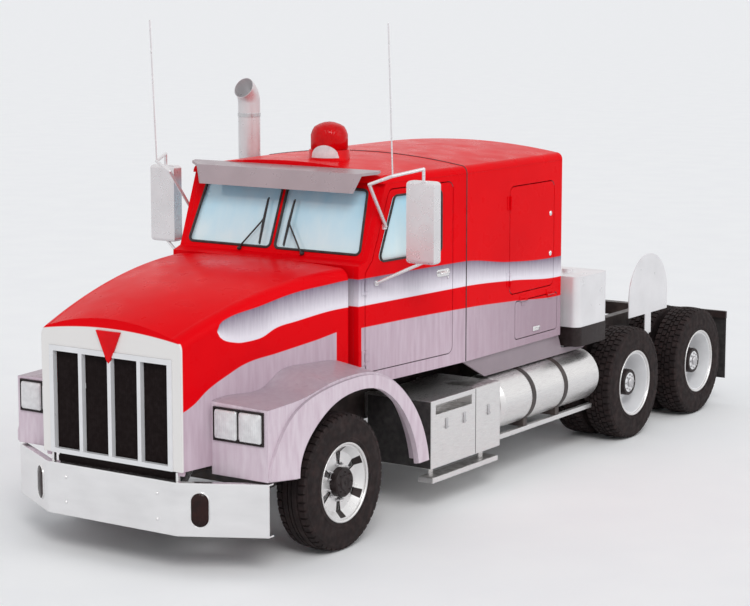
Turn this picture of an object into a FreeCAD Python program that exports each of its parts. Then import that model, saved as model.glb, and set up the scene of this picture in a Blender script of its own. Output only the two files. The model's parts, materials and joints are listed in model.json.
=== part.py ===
import FreeCAD, Part
import math
import os

# Road tractor with a sleeper cab. X points to the driver's side, Z up, and the front faces -Y.
# Stations (the d of each point) are millimetres behind the bumper's front face.
# At the end all pieces shift forward by half the length, so that the origin is under the middle.

# Chassis
FRONT_AXLE = 1250
TANDEM_CENTRE = 6620
AXLE_SPACING = 1360
RAIL_OUTER = 430
RAIL_FLANGE = 90
RAIL_GAUGE = 10
RAIL_BOTTOM = 670
RAIL_TOP = 940
RAIL_START = 110
SPRING_SEAT = 480
SPRING_EYE = 640
SPRING_HALF_SPAN = 560
SPRING_THICK = 60
SPRING_WIDTH = 76
HOUSING_RADIUS = 80
BOWL_RADIUS = 205
SHAFT_RADIUS = 50
ENGINE_HALF = 310
ENGINE_FRONT = 560
ENGINE_REAR = 1760
ENGINE_LOW = 600
ENGINE_TOP = 1480
GEARBOX_END = 2700
RAIL_END = 7900
CROSSMEMBER = 70
CROSSMEMBER_HEIGHT = 130
CROSSMEMBER_STATIONS = (520, 3050, 4300, 5400, 6620, 7865)

# Tyres and wheels
TYRE_RADIUS = 520
TYRE_WIDTH = 280
TREAD_WIDTH = 250
BEAD_RADIUS = 286
TYRE_OUTER_FACE = 1210
TWIN_PITCH = 330
TYRE_SEAT_GAP = 0.3
RIM_WALL = 14
HUB_RADIUS = 110
DISC = 16
SPOKES = 6
HAND_HOLE_CIRCLE = 190
HAND_HOLE_RADIUS = 26
SPINDLE_RADIUS = 50
RUNNING_CLEARANCE = 0.08

# Steering
KINGPIN_X = 860
KINGPIN_RADIUS = 22
KNUCKLE_EAR = 50
AXLE_EYE_RADIUS = 55
AXLE_EYE_HEIGHT = 120
STEERING_ARM = 200
AXLE_DEPTH = 100
AXLE_HALF_WIDTH = 45
TIE_ROD_RADIUS = 20
TIE_ROD_PIN = 12

# Bumper
BUMPER_HALF = 1195
BUMPER_FOLD = 620
BUMPER_SWEEP = 320
BUMPER_BOTTOM = 300
BUMPER_TOP = 690
BUMPER_PLATE = 12
BUMPER_FLANGE = 60
FOG_WIDTH = 130
FOG_HEIGHT = 250
FOG_SHARE = 0.25

# Hood
HOOD_START = 12
HOOD_END = 1790
HOOD_PIVOT_D = 50
HOOD_PIVOT_Z = 745
HOOD_EAR_X = 583
HOOD_WALL = 25
HOOD_BOTTOM = 765
HOOD_SIDE_BOTTOM = 1180
HOOD_SHOULDER = 90
NOSE_HALF = 660
NOSE_EDGE = 1720
NOSE_CROWN = 90
HOOD_REAR_HALF = 860
HOOD_REAR_EDGE = 2040
HOOD_REAR_CROWN = 25
NOSE_LENGTH = 330
GRILLE_HALF = 540
GRILLE_TOP = 1530
GRILLE_BOTTOM = 800
GRILLE_DEPTH = 40
GRILLE_BAR = 34
GRILLE_RIM = 40
LOUVRES = 12
LOUVRE_DEPTH = 34
LOUVRE_THICK = 4
LOUVRE_TURN = -50

# Front fenders
FENDER_OUTER = 1220
FENDER_SIDE = 1195
FENDER_WALL = 22
FENDER_FRONT = 310
FENDER_BOTTOM = 705
FENDER_END = 2400
FLAP_BOTTOM_Z = 470
FLAP_INNER = 1040
FLAP_LENGTH = 160
LAMP_INNER = 715
LAMP_OUTER = 1165
LAMP_BOTTOM = 960
LAMP_TOP = 1205

# Cab
CAB_START = 1850
CAB_FRONT_HALF = 920
SPLIT = 3250
BODY_HALF = 1020
BODY_BOTTOM = 1110
ROOF_SEAM = 2660
ROOF_EDGE = 2725
ROOF_CROWN = 75
ROOF_RADIUS = 60
ROOF_WALL = 35
ROOF_START = 2150
WALL = 50
FLOOR = 60
PANEL_GAP = 8
SEAM = 0.3
COWL_TOP = 2050
COWL_DEPTH = 100
SCREEN_BASE_Z = 2080
SCREEN_RAKE = 218
SCREEN_TOP_Z = 2620
SCREEN_FRAME = 55
SCREEN_HALF_BASE = 845
SCREEN_HALF_TOP = 790
CENTRE_POST = 45
GLASS = 8
VISOR_HALF = 915
VISOR_REACH = 165
VISOR_DROP = 70
WIPER_X = 310
WIPER_Z = 2097
WIPER_RISE = 400
WIPER_BOSS = 12

# Door
DOOR_FRONT = 1935
DOOR_REAR = 3060
DOOR_BOTTOM = 1215
DOOR_TOP = 2610
DOOR_SHOULDER = 1985
DOOR_KINK_D = 2022
DOOR_KINK_Z = 2075
DOOR_TOP_FRONT = 2236
DOOR_HINGES = (1330, 1880)
CORNER = 60
WINDOW_CORNER = 45
WINDOW_RISE = 75
WINDOW_MARGIN = 50
WINDOW_REAR_MARGIN = 150

# Hinges
HINGE_RADIUS = 9
HINGE_PIN = 4
HINGE_OFFSET = 10
HINGE_HALF = 60
HINGE_LEAF = 45

# Sleeper
SLEEPER_END = 4840
HATCH_FRONT = 3950
HATCH_REAR = 4700
HATCH_BOTTOM = 1580
HATCH_TOP = 2490
LOCKER_FRONT = 4050
LOCKER_REAR = 4770
LOCKER_BOTTOM = 1180
LOCKER_TOP = 1500
BUNK_FRONT = 3980
BUNK_BOARD = 1540
MATTRESS = 150

# Beside the frame
TANK_RADIUS = 240
TANK_X = 920
TANK_Z = 680
TANK_FRONT = 3640
TANK_REAR = 5350
TANK_CHAMFER = 35
STRAP = 4
CRADLE_STATIONS = (4150, 4710)
CRADLE = 60
CRADLE_LOW = 415
CRADLE_REACH = 150
SIDE_RAIL = 40
BOX_FRONT = 2520
BOX_REAR = 3590
BOX_OUTER = 1150
BOX_INNER = 540
BOX_BOTTOM = 360
BOX_TOP = 910
STEP_BOTTOM = 240
STEP_BOARD = 40
SKIRT = 18
SKIRT_START = 3230

# Exhaust
STACK_GAP = 35
STACK_LEAD = 65
STACK_RADIUS = 95
STACK_TOP = 3320
STACK_BEND = 150
STACK_WALL = 4
RUN_RADIUS = 70
RUN_BEND = 110
STAY_Z = 2250

# Beacon
BEACON_X = 170
BEACON_D = 2520
BEACON_RADIUS = 165

# Fifth wheel
COUPLING_LEAD = 60
COUPLING_PIVOT_Z = 1085
COUPLING_TOP = 1190
COUPLING_HALF = 460
KINGPIN_BORE = 25.5

# Behind the sleeper
DECK_GAP = 60
DECK_LENGTH = 600
DECK_PLATE = 12
OIL_TANK_INNER = 620
OIL_TANK_OUTER = 1150
OIL_TANK_START = 90
OIL_TANK_LENGTH = 560
OIL_TANK_BOTTOM = 1000
OIL_TANK_TOP = 1620
OIL_TANK_ROUNDING = 70
GUARD_X = 1050
GUARD_LEAD = 140
GUARD_POST = 60
GUARD_RADIUS = 395
GUARD_SPRING_Z = 1265
GUARD_LOW_Z = 1090
GUARD_PIPE_Z = 900

# Rear
FENDER_PLATE = 8
END_BAR = 25
END_PAD = 12
TAIL_LAMP = 20
FLAP_THICK = 12
FLAP_BOTTOM = 250

# Mirrors and antennas
MIRROR_INNER = 1150
MIRROR_OUTER = 1400
MIRROR_D = 2205
MIRROR_DEPTH = 100
MIRROR_BOTTOM = 2060
MIRROR_TOP = 2700
ARM_RADIUS = 13
PAD_HALF = 20
BRACE_D = 2162
BRACE_Z = 2330
LOW_PAD_D = 2060
LOW_PAD_Z = 1900
WHIP_TOP = 3900
WHIP_RADIUS = 6
WHIP_X = 1160
WHIP_D = 1950
WHIP_LEAN = 60

LENGTH = RAIL_END + END_BAR + TAIL_LAMP
COUPLING_D = TANDEM_CENTRE - COUPLING_LEAD
STACK_X = -(BODY_HALF + STACK_GAP + STACK_RADIUS)
STACK_D = SPLIT - STACK_LEAD


def vec(x, d, z):
    return FreeCAD.Vector(x, d, z)


def block(x0, x1, d0, d1, z0, z1):
    return Part.makeBox(x1 - x0, d1 - d0, z1 - z0, vec(x0, d0, z0))


def bar(start, end, radius):
    span = end - start
    return Part.makeCylinder(radius, span.Length, start, span)


def loop(points):
    return Part.makePolygon(points + [points[0]])


def side_prism(outline, x0, x1):
    """An outline of (station, height) points, pulled across from x0 to x1."""
    wire = loop([vec(x0, d, z) for d, z in outline])
    return Part.Face(wire).extrude(vec(x1 - x0, 0, 0))


def plan_prism(outline, z0, z1):
    """An outline of (x, station) points, pulled up from z0 to z1."""
    wire = loop([vec(x, d, z0) for x, d in outline])
    return Part.Face(wire).extrude(vec(0, 0, z1 - z0))


def front_prism(outline, d0, d1):
    """An outline of (x, height) points, pulled back from d0 to d1."""
    wire = loop([vec(x, d0, z) for x, z in outline])
    return Part.Face(wire).extrude(vec(0, d1 - d0, 0))


def rounded_wire(points, radius):
    """A closed wire through the corners, each rounded by an arc."""
    edges = []
    count = len(points)
    starts = []
    ends = []
    for i in range(count):
        corner = points[i]
        to_last = points[i - 1] - corner
        to_next = points[(i + 1) % count] - corner
        half_angle = to_last.getAngle(to_next) / 2
        reach = radius / math.tan(half_angle)
        to_last.normalize()
        to_next.normalize()
        middle = to_last + to_next
        middle.normalize()
        start = corner + to_last * reach
        end = corner + to_next * reach
        centre = corner + middle * (radius / math.sin(half_angle))
        crest = centre - middle * radius
        starts.append(start)
        ends.append(end)
        edges.append(Part.Arc(start, crest, end).toShape())
    lines = [Part.makeLine(ends[i], starts[(i + 1) % count]) for i in range(count)]
    return Part.Wire(Part.__sortEdges__(edges + lines))


def rounded_side_prism(outline, radius, x0, x1, grow=0):
    """A side prism with rounded corners, enlarged all round by grow."""
    wire = rounded_wire([vec(x0, d, z) for d, z in outline], radius)
    if grow:
        wire = wire.makeOffset2D(grow)
    return Part.Face(wire).extrude(vec(x1 - x0, 0, 0))


def turned(profile, x_sign, centre_d, centre_z):
    """A ring or wheel: (x, radius) points turned about the axle line along X."""
    wire = loop([vec(x_sign * x, centre_d, centre_z + r) for x, r in profile])
    return Part.Face(wire).revolve(vec(0, centre_d, centre_z), vec(1, 0, 0), 360)


def mirrored(shape):
    return shape.mirror(vec(0, 0, 0), vec(1, 0, 0))


def pair(shape):
    return [shape, mirrored(shape)]


def join(first, *others):
    return first.fuse(list(others)).removeSplitter()


def save(name, *shapes):
    whole = shapes[0] if len(shapes) == 1 else Part.makeCompound(list(shapes))
    whole = whole.copy()
    whole.translate(vec(0, -LENGTH / 2, 0))
    whole.exportStep("parts/" + name + ".step")


# Body lines

def half_at(d):
    """Half the cab's width at a station: it tapers to the front."""
    slope = (BODY_HALF - CAB_FRONT_HALF) / (SPLIT - DOOR_FRONT)
    return CAB_FRONT_HALF + (d - DOOR_FRONT) * slope


def screen_d(z):
    """The station of the windscreen's outer plane at a height."""
    lean = SCREEN_RAKE / (SCREEN_TOP_Z - SCREEN_BASE_Z)
    return CAB_START + COWL_DEPTH + (z - SCREEN_BASE_Z) * lean


def side_band(d0, d1, z0, z1):
    """The cab's left wall between two stations, as thick as the wall."""
    outline = [(half_at(d0), d0), (half_at(d1), d1), (half_at(d1) - WALL, d1),
               (half_at(d0) - WALL, d0)]
    return plan_prism(outline, z0, z1)


def door_prism(grow=0):
    """The door's outline pulled across its wall; grown by the gap it is the opening."""
    outline = [(DOOR_FRONT, DOOR_BOTTOM), (DOOR_FRONT, DOOR_SHOULDER),
               (DOOR_KINK_D, DOOR_KINK_Z), (DOOR_TOP_FRONT, DOOR_TOP),
               (DOOR_REAR, DOOR_TOP), (DOOR_REAR, DOOR_BOTTOM)]
    return rounded_side_prism(outline, CORNER, 0, BODY_HALF + 100, grow)


def window_outline():
    """The door's window, set in from the door's edges."""
    sill = DOOR_SHOULDER + WINDOW_RISE
    top = DOOR_TOP - WINDOW_MARGIN
    lean = (DOOR_TOP_FRONT - DOOR_KINK_D) / (DOOR_TOP - DOOR_KINK_Z)
    low_front = DOOR_KINK_D + (sill - DOOR_KINK_Z) * lean + 1.25 * WINDOW_MARGIN
    high_front = low_front + (top - sill) * lean
    rear = DOOR_REAR - WINDOW_REAR_MARGIN
    return [(low_front, sill), (high_front, top), (rear, top), (rear, sill)]


# Chassis pieces

def frame():
    inner = RAIL_OUTER - RAIL_FLANGE
    web = RAIL_OUTER - RAIL_GAUGE
    channel = [(RAIL_OUTER, RAIL_BOTTOM), (RAIL_OUTER, RAIL_TOP), (inner, RAIL_TOP),
               (inner, RAIL_TOP - RAIL_GAUGE), (web, RAIL_TOP - RAIL_GAUGE),
               (web, RAIL_BOTTOM + RAIL_GAUGE), (inner, RAIL_BOTTOM + RAIL_GAUGE),
               (inner, RAIL_BOTTOM)]
    rail = front_prism(channel, RAIL_START, RAIL_END)
    pieces = [mirrored(rail)]
    for station in CROSSMEMBER_STATIONS:
        low = RAIL_TOP - RAIL_GAUGE - CROSSMEMBER_HEIGHT
        pieces.append(block(-web, web, station - CROSSMEMBER / 2, station + CROSSMEMBER / 2,
                            low, RAIL_TOP - RAIL_GAUGE))
    hanger = block(-TYRE_OUTER_FACE, TYRE_OUTER_FACE, RAIL_END, RAIL_END + END_BAR, 860, 930)
    face = RAIL_END + END_BAR
    pad = block(-140, 140, face, face + END_PAD, 865, 925)
    return join(rail, hanger, pad, deck(), *cradles(), *pieces)


def axle_stations():
    return (TANDEM_CENTRE - AXLE_SPACING / 2, TANDEM_CENTRE + AXLE_SPACING / 2)


def front_axle():
    """A dropped I-beam whose end eyes hold the kingpins."""
    top = TYRE_RADIUS + 45
    low = TYRE_RADIUS - 45
    seat = SPRING_SEAT
    left = [(KINGPIN_X, low), (KINGPIN_X, top), (690, top), (520, seat)]
    right = [(-x, z) for x, z in reversed(left)]
    under = [(-660, low), (-500, seat - AXLE_DEPTH), (500, seat - AXLE_DEPTH), (660, low)]
    beam = front_prism(left + right + under, FRONT_AXLE - AXLE_HALF_WIDTH,
                       FRONT_AXLE + AXLE_HALF_WIDTH)
    pieces = []
    for side in (1, -1):
        low = TYRE_RADIUS - AXLE_EYE_HEIGHT / 2
        eye = bar(vec(side * KINGPIN_X, FRONT_AXLE, low),
                  vec(side * KINGPIN_X, FRONT_AXLE, low + AXLE_EYE_HEIGHT), AXLE_EYE_RADIUS)
        reach = AXLE_EYE_HEIGHT / 2 + KNUCKLE_EAR
        pin = bar(vec(side * KINGPIN_X, FRONT_AXLE, TYRE_RADIUS - reach),
                  vec(side * KINGPIN_X, FRONT_AXLE, TYRE_RADIUS + reach), KINGPIN_RADIUS)
        pieces += [eye, pin]
    return join(beam, *pieces)


def leaf_pack():
    """A front leaf spring: an arched pack between its two eyes, seated on the axle."""
    x = RAIL_OUTER - RAIL_FLANGE / 2 - SPRING_WIDTH / 2
    d0 = FRONT_AXLE - SPRING_HALF_SPAN
    d1 = FRONT_AXLE + SPRING_HALF_SPAN
    leaf = 12
    top = Part.Arc(vec(x, d0, SPRING_EYE), vec(x, FRONT_AXLE, SPRING_SEAT + SPRING_THICK),
                   vec(x, d1, SPRING_EYE))
    low = Part.Arc(vec(x, d1, SPRING_EYE - leaf), vec(x, FRONT_AXLE, SPRING_SEAT),
                   vec(x, d0, SPRING_EYE - leaf))
    edges = [top.toShape(), Part.makeLine(vec(x, d1, SPRING_EYE), vec(x, d1, SPRING_EYE - leaf)),
             low.toShape(), Part.makeLine(vec(x, d0, SPRING_EYE - leaf), vec(x, d0, SPRING_EYE))]
    return Part.Face(Part.Wire(edges)).extrude(vec(SPRING_WIDTH, 0, 0))


def springs():
    """Front leaf springs, and the rear packs that lie over both drive axles."""
    front = leaf_pack()
    centre = RAIL_OUTER - RAIL_FLANGE / 2
    half = SPRING_WIDTH / 2
    shapes = []
    for way in (-1, 1):
        station = FRONT_AXLE + way * (SPRING_HALF_SPAN - 15)
        hanger = block(centre - half, centre + half, station - 30, station + 30,
                       SPRING_EYE - 15, RAIL_BOTTOM)
        front = front.fuse(hanger)
    shapes += pair(front.removeSplitter())
    first, second = axle_stations()
    seat = TYRE_RADIUS + HOUSING_RADIUS + SEAM
    end = 70
    rear = side_prism([(first - end, seat), (first - end, seat + 25), (TANDEM_CENTRE - 220, 650),
                       (TANDEM_CENTRE + 220, 650), (second + end, seat + 25),
                       (second + end, seat), (second - end, seat), (TANDEM_CENTRE + 120, 545),
                       (TANDEM_CENTRE - 120, 545), (first + end, seat)],
                      centre - half, centre + half)
    post = block(centre - half, centre + half, TANDEM_CENTRE - 110, TANDEM_CENTRE + 110,
                 640, RAIL_BOTTOM)
    shapes += pair(join(rear, post))
    return shapes


def driveline():
    """Drive axle housings with their round centres, and the shafts between."""
    shapes = []
    first, second = axle_stations()
    hub_end = TYRE_OUTER_FACE - 80
    for station in (first, second):
        housing = bar(vec(-560, station, TYRE_RADIUS), vec(560, station, TYRE_RADIUS),
                      HOUSING_RADIUS)
        bowl = bar(vec(-150, station, TYRE_RADIUS), vec(150, station, TYRE_RADIUS), BOWL_RADIUS)
        stub = bar(vec(-hub_end, station, TYRE_RADIUS), vec(hub_end, station, TYRE_RADIUS),
                   SPINDLE_RADIUS)
        shapes.append(join(housing, bowl, stub))
    reach = BOWL_RADIUS - 15
    shaft = bar(vec(0, GEARBOX_END - 40, 752), vec(0, first - reach, 560), SHAFT_RADIUS)
    shaft = shaft.cut(block(-100, 100, GEARBOX_END - 200, GEARBOX_END + SEAM, 500, 1000))
    link = bar(vec(0, first + reach, 560), vec(0, second - reach, 560), SHAFT_RADIUS)
    return [join(shapes[0], shapes[1], shaft, link)]


def engine():
    """The heavy engine and its gearbox as one plain casting on four lugs."""
    block_part = block(-ENGINE_HALF, ENGINE_HALF, ENGINE_FRONT, ENGINE_REAR, ENGINE_LOW, ENGINE_TOP)
    low = ENGINE_LOW + 20
    gearbox = side_prism([(ENGINE_REAR, low), (ENGINE_REAR, ENGINE_TOP - 400),
                          (GEARBOX_END - 400, ENGINE_TOP - 470),
                          (GEARBOX_END, low + 280), (GEARBOX_END, low)], -190, 190)
    lugs = []
    for station in (ENGINE_FRONT + 200, ENGINE_REAR - 200):
        lugs.append(block(-RAIL_OUTER + 15, RAIL_OUTER - 15, station - 50, station + 50,
                          RAIL_TOP, RAIL_TOP + 60))
    return join(block_part, gearbox, *lugs)


def radiator():
    core = block(-480, 480, 340, 430, RAIL_TOP, 1500)
    return core


def bumper_plan(inset):
    """The bumper's bent line, moved back by inset, from end to end."""
    return [(-BUMPER_HALF, BUMPER_SWEEP + inset), (-BUMPER_FOLD, inset),
            (BUMPER_FOLD, inset), (BUMPER_HALF, BUMPER_SWEEP + inset)]


def wing_angle():
    return math.degrees(math.atan2(BUMPER_SWEEP, BUMPER_HALF - BUMPER_FOLD))


def fog_prism(width, height, depth0, depth1):
    """An upright oval on the bumper's left wing, from depth0 to depth1 behind its face."""
    radius = width / 2
    rise = (height - width) / 2
    left = Part.makeLine(vec(-radius, depth0, -rise), vec(-radius, depth0, rise))
    over = Part.Arc(vec(-radius, depth0, rise), vec(0, depth0, rise + radius),
                    vec(radius, depth0, rise)).toShape()
    right = Part.makeLine(vec(radius, depth0, rise), vec(radius, depth0, -rise))
    under = Part.Arc(vec(radius, depth0, -rise), vec(0, depth0, -rise - radius),
                     vec(-radius, depth0, -rise)).toShape()
    oval = Part.Face(Part.Wire([left, over, right, under])).extrude(vec(0, depth1 - depth0, 0))
    oval.rotate(vec(0, 0, 0), vec(0, 0, 1), wing_angle())
    x = BUMPER_FOLD + FOG_SHARE * (BUMPER_HALF - BUMPER_FOLD)
    oval.translate(vec(x, FOG_SHARE * BUMPER_SWEEP, (BUMPER_BOTTOM + BUMPER_TOP) / 2))
    return oval


def bumper():
    front = bumper_plan(0)
    channel = plan_prism(front + list(reversed(bumper_plan(BUMPER_FLANGE))),
                         BUMPER_BOTTOM, BUMPER_TOP)
    behind = list(reversed(bumper_plan(BUMPER_FLANGE + 40)))
    hollow = plan_prism(bumper_plan(BUMPER_PLATE) + behind, BUMPER_BOTTOM + BUMPER_PLATE,
                        BUMPER_TOP - BUMPER_PLATE)
    shell = channel.cut(hollow)
    hole = fog_prism(FOG_WIDTH, FOG_HEIGHT, -20, 40)
    shell = shell.cut(hole).cut(mirrored(hole))
    bracket = side_prism([(BUMPER_PLATE, 380), (BUMPER_PLATE, 640), (RAIL_START, 690),
                          (RAIL_START + 40, 900), (420, 900), (420, 700), (160, 400)],
                         RAIL_OUTER, RAIL_OUTER + 15)
    ears = pair(hood_ear())
    return join(shell, bracket, mirrored(bracket), *ears)


def hood_ear():
    """One fixed ear of the hood's pivot on the bumper, with its pin."""
    x0 = HOOD_EAR_X
    x1 = x0 + 20
    post = block(x0, x1, HOOD_PIVOT_D - 14, HOOD_PIVOT_D + 14, BUMPER_TOP, HOOD_PIVOT_Z)
    eye = bar(vec(x0, HOOD_PIVOT_D, HOOD_PIVOT_Z), vec(x1, HOOD_PIVOT_D, HOOD_PIVOT_Z), 14)
    pin = bar(vec(x0, HOOD_PIVOT_D, HOOD_PIVOT_Z), vec(x1 + 30, HOOD_PIVOT_D, HOOD_PIVOT_Z), 8)
    return join(post, eye, pin)


def hood_lug():
    """The hood's lug beside the ear, down from its side wall."""
    x0 = HOOD_EAR_X + 23
    x1 = NOSE_HALF - HOOD_WALL / 2
    eye = bar(vec(x0, HOOD_PIVOT_D, HOOD_PIVOT_Z), vec(x1, HOOD_PIVOT_D, HOOD_PIVOT_Z), 16)
    plate = block(x0, x1, HOOD_PIVOT_D - 16, HOOD_PIVOT_D + 16, HOOD_PIVOT_Z, HOOD_BOTTOM + 60)
    hole = bar(vec(x0 - 5, HOOD_PIVOT_D, HOOD_PIVOT_Z),
               vec(HOOD_EAR_X + 52, HOOD_PIVOT_D, HOOD_PIVOT_Z), 8 + RUNNING_CLEARANCE)
    return join(eye, plate).cut(hole)


def lamps():
    """Roof beacon, fog lamps in the bumper's wings, and tail lamps on the end bar."""
    shapes = []
    fog = fog_prism(FOG_WIDTH - 1, FOG_HEIGHT - 1, 6, 70)
    shapes += pair(fog)
    for side in (1, -1):
        for place in (370, 450, 530):
            x = side * place
            face = RAIL_END + END_BAR
            shapes.append(bar(vec(x, face, 895), vec(x, face + TAIL_LAMP, 895), 32))
    return shapes


def beacon():
    """A dome on a round foot, on the roof over the driver."""
    foot_z = ROOF_EDGE + ROOF_CROWN
    radius = BEACON_RADIUS
    profile = [(0, -30), (radius, -30), (radius, 70), (radius - 15, 85), (radius - 15, 190),
               (radius * 0.73, 255), (radius * 0.36, 288), (0, 295)]
    wire = loop([vec(BEACON_X + r, BEACON_D, foot_z + z) for r, z in profile])
    dome = Part.Face(wire).revolve(vec(BEACON_X, BEACON_D, 0), vec(0, 0, 1), 360)
    return dome.cut(roof_form(ROOF_START, SPLIT, 0))


def tanks():
    tank = bar(vec(TANK_X, TANK_FRONT, TANK_Z), vec(TANK_X, TANK_REAR, TANK_Z), TANK_RADIUS)
    ends = [edge for edge in tank.Edges if edge.Length > 1000 and edge.isClosed()]
    return pair(tank.makeChamfer(TANK_CHAMFER, ends))


def cradles():
    """Brackets from the rail that carry the tank from below, with a strap round it."""
    shapes = []
    for station in CRADLE_STATIONS:
        outer = TANK_X + CRADLE_REACH
        arm = front_prism([(RAIL_OUTER, RAIL_TOP - 20), (RAIL_OUTER, CRADLE_LOW + 15),
                           (520, CRADLE_LOW), (outer, CRADLE_LOW), (outer, CRADLE_LOW + 85),
                           (560, RAIL_TOP - 20)],
                          station - CRADLE / 2, station + CRADLE / 2)
        tank = bar(vec(TANK_X, station - 200, TANK_Z), vec(TANK_X, station + 200, TANK_Z),
                   TANK_RADIUS + SEAM)
        strap = bar(vec(TANK_X, station - CRADLE / 2, TANK_Z),
                    vec(TANK_X, station + CRADLE / 2, TANK_Z), TANK_RADIUS + STRAP)
        shapes += pair(join(arm, strap).cut(tank))
    return shapes


def step_boxes():
    """Battery and tool boxes with a step let into the top and a board below."""
    case = block(BOX_INNER, BOX_OUTER, BOX_FRONT, BOX_REAR, BOX_BOTTOM, BOX_TOP)
    tread = block(BOX_OUTER - 150, BOX_OUTER + 1, BOX_FRONT + 70, BOX_FRONT + 620, 790, 870)
    case = case.cut(tread)
    board = block(BOX_OUTER - 140, BOX_OUTER, BOX_FRONT + 30, BOX_REAR - 30,
                  STEP_BOTTOM, STEP_BOTTOM + STEP_BOARD)
    pieces = [board]
    for station in (BOX_FRONT + 120, BOX_REAR - 180):
        pieces.append(block(BOX_OUTER - 110, BOX_OUTER - 95, station, station + 60,
                            STEP_BOTTOM + STEP_BOARD, BOX_BOTTOM))
        pieces.append(block(RAIL_OUTER, BOX_INNER, station, station + 60,
                            RAIL_BOTTOM + 20, BOX_TOP - 20))
    side_rail = block(TANK_X + CRADLE_REACH - SIDE_RAIL, TANK_X + CRADLE_REACH, TANK_FRONT,
                      TANK_REAR, CRADLE_LOW - SIDE_RAIL, CRADLE_LOW - SEAM)
    return pair(join(case, *pieces)) + pair(side_rail)


def skirts():
    outline = [(SKIRT_START, BODY_BOTTOM), (BOX_REAR, 932), (SLEEPER_END + 460, 925),
               (SLEEPER_END + 500, 938), (SLEEPER_END + 60, 985), (SLEEPER_END, BODY_BOTTOM)]
    return pair(side_prism(outline, BODY_HALF - 40, BODY_HALF - 40 + SKIRT))


def oil_tanks():
    """Upright polished oil tanks behind the sleeper, each on two brackets beside the rail."""
    d0 = SLEEPER_END + OIL_TANK_START
    d1 = d0 + OIL_TANK_LENGTH
    tank = block(OIL_TANK_INNER, OIL_TANK_OUTER, d0, d1, OIL_TANK_BOTTOM, OIL_TANK_TOP)
    upright = [edge for edge in tank.Edges
               if abs(edge.Vertexes[0].Z - edge.Vertexes[1].Z) > OIL_TANK_LENGTH]
    tank = tank.makeFillet(OIL_TANK_ROUNDING, upright)
    neck_foot = vec((OIL_TANK_INNER + OIL_TANK_OUTER) / 2, (d0 + d1) / 2, OIL_TANK_TOP)
    neck = bar(neck_foot, neck_foot + vec(0, 0, 30), 50)
    face = RAIL_OUTER + SEAM
    reach = OIL_TANK_OUTER - 200
    under = OIL_TANK_BOTTOM - 40
    outline = [(face, RAIL_TOP - 180), (face, RAIL_TOP - 20), (OIL_TANK_INNER, OIL_TANK_BOTTOM),
               (reach, OIL_TANK_BOTTOM), (reach, under), (OIL_TANK_INNER + 40, under)]
    brackets = [front_prism(outline, station - 30, station + 30)
                for station in (d0 + 80, d1 - 120)]
    return pair(join(tank, neck, *brackets))


# Hinges

def hinge():
    """A surface hinge along Z: the part on the wall with its pin, and the part on the door.

    The skin lies HINGE_OFFSET behind the pin, and the door's leaf points along +Y.
    """
    skin = -HINGE_OFFSET
    knuckle = HINGE_HALF / 2
    leaf = 4
    pin = bar(vec(0, 0, -HINGE_HALF), vec(0, 0, HINGE_HALF), HINGE_PIN)
    fixed = [block(skin, skin + leaf, -HINGE_LEAF, -HINGE_RADIUS - 3, -HINGE_HALF, HINGE_HALF)]
    for low in (-HINGE_HALF, knuckle + 1):
        high = low + HINGE_HALF - knuckle - 1
        fixed.append(bar(vec(0, 0, low), vec(0, 0, high), HINGE_RADIUS))
        fixed.append(block(skin, skin + leaf, -HINGE_LEAF, 0, low, high))
    barrel = bar(vec(0, 0, -knuckle), vec(0, 0, knuckle), HINGE_RADIUS)
    flap = block(skin, skin + leaf, 0, HINGE_LEAF, -knuckle, knuckle)
    hole = bar(vec(0, 0, -HINGE_HALF), vec(0, 0, HINGE_HALF), HINGE_PIN + RUNNING_CLEARANCE)
    return join(pin, *fixed), join(barrel, flap).cut(hole)


def door_hinge_line():
    """The door hinge's pin, as x and station, out of the slanted skin."""
    d = DOOR_FRONT - PANEL_GAP / 2
    slant = math.atan2(BODY_HALF - CAB_FRONT_HALF, SPLIT - DOOR_FRONT)
    return (half_at(d) + HINGE_OFFSET * math.cos(slant), d - HINGE_OFFSET * math.sin(slant),
            math.degrees(slant))


def door_hinges(half):
    x, d, slant = door_hinge_line()
    shapes = []
    for z in DOOR_HINGES:
        leaf = hinge()[half]
        leaf.rotate(vec(0, 0, 0), vec(0, 0, 1), -slant)
        leaf.translate(vec(x, d, z))
        shapes.append(leaf)
    return shapes


def hatch_hinges(half):
    shapes = []
    for z in (HATCH_BOTTOM + 130, HATCH_TOP - 130):
        leaf = hinge()[half]
        leaf.translate(vec(BODY_HALF + HINGE_OFFSET, HATCH_FRONT - PANEL_GAP / 2, z))
        shapes.append(leaf)
    return shapes


def locker_hinges(half):
    shapes = []
    for d in (LOCKER_FRONT + 130, LOCKER_REAR - 130):
        leaf = hinge()[half]
        leaf.rotate(vec(0, 0, 0), vec(1, 0, 0), -90)
        leaf.translate(vec(BODY_HALF + HINGE_OFFSET, d, LOCKER_TOP + PANEL_GAP / 2))
        shapes.append(leaf)
    return shapes


# Cab and sleeper

def floor_feet(stations):
    """Rubber mounts between the rails and the floor."""
    feet = []
    for station in stations:
        for side in (1, -1):
            x = side * (RAIL_OUTER - RAIL_FLANGE / 2)
            feet.append(block(x - 40, x + 40, station - 60, station + 60, RAIL_TOP + SEAM,
                              BODY_BOTTOM - SEAM))
    return feet


def cab_floor():
    """Floor pan between the side walls, and its mounts."""
    inner_front = half_at(CAB_START) - WALL - SEAM
    inner_rear = half_at(SPLIT) - WALL - SEAM
    rear = SPLIT - SEAM
    pan = plan_prism([(-inner_front, CAB_START), (inner_front, CAB_START), (inner_rear, rear),
                      (-inner_rear, rear)], BODY_BOTTOM, BODY_BOTTOM + FLOOR)
    return [pan] + floor_feet((CAB_START + 210, SPLIT - 290))


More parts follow.
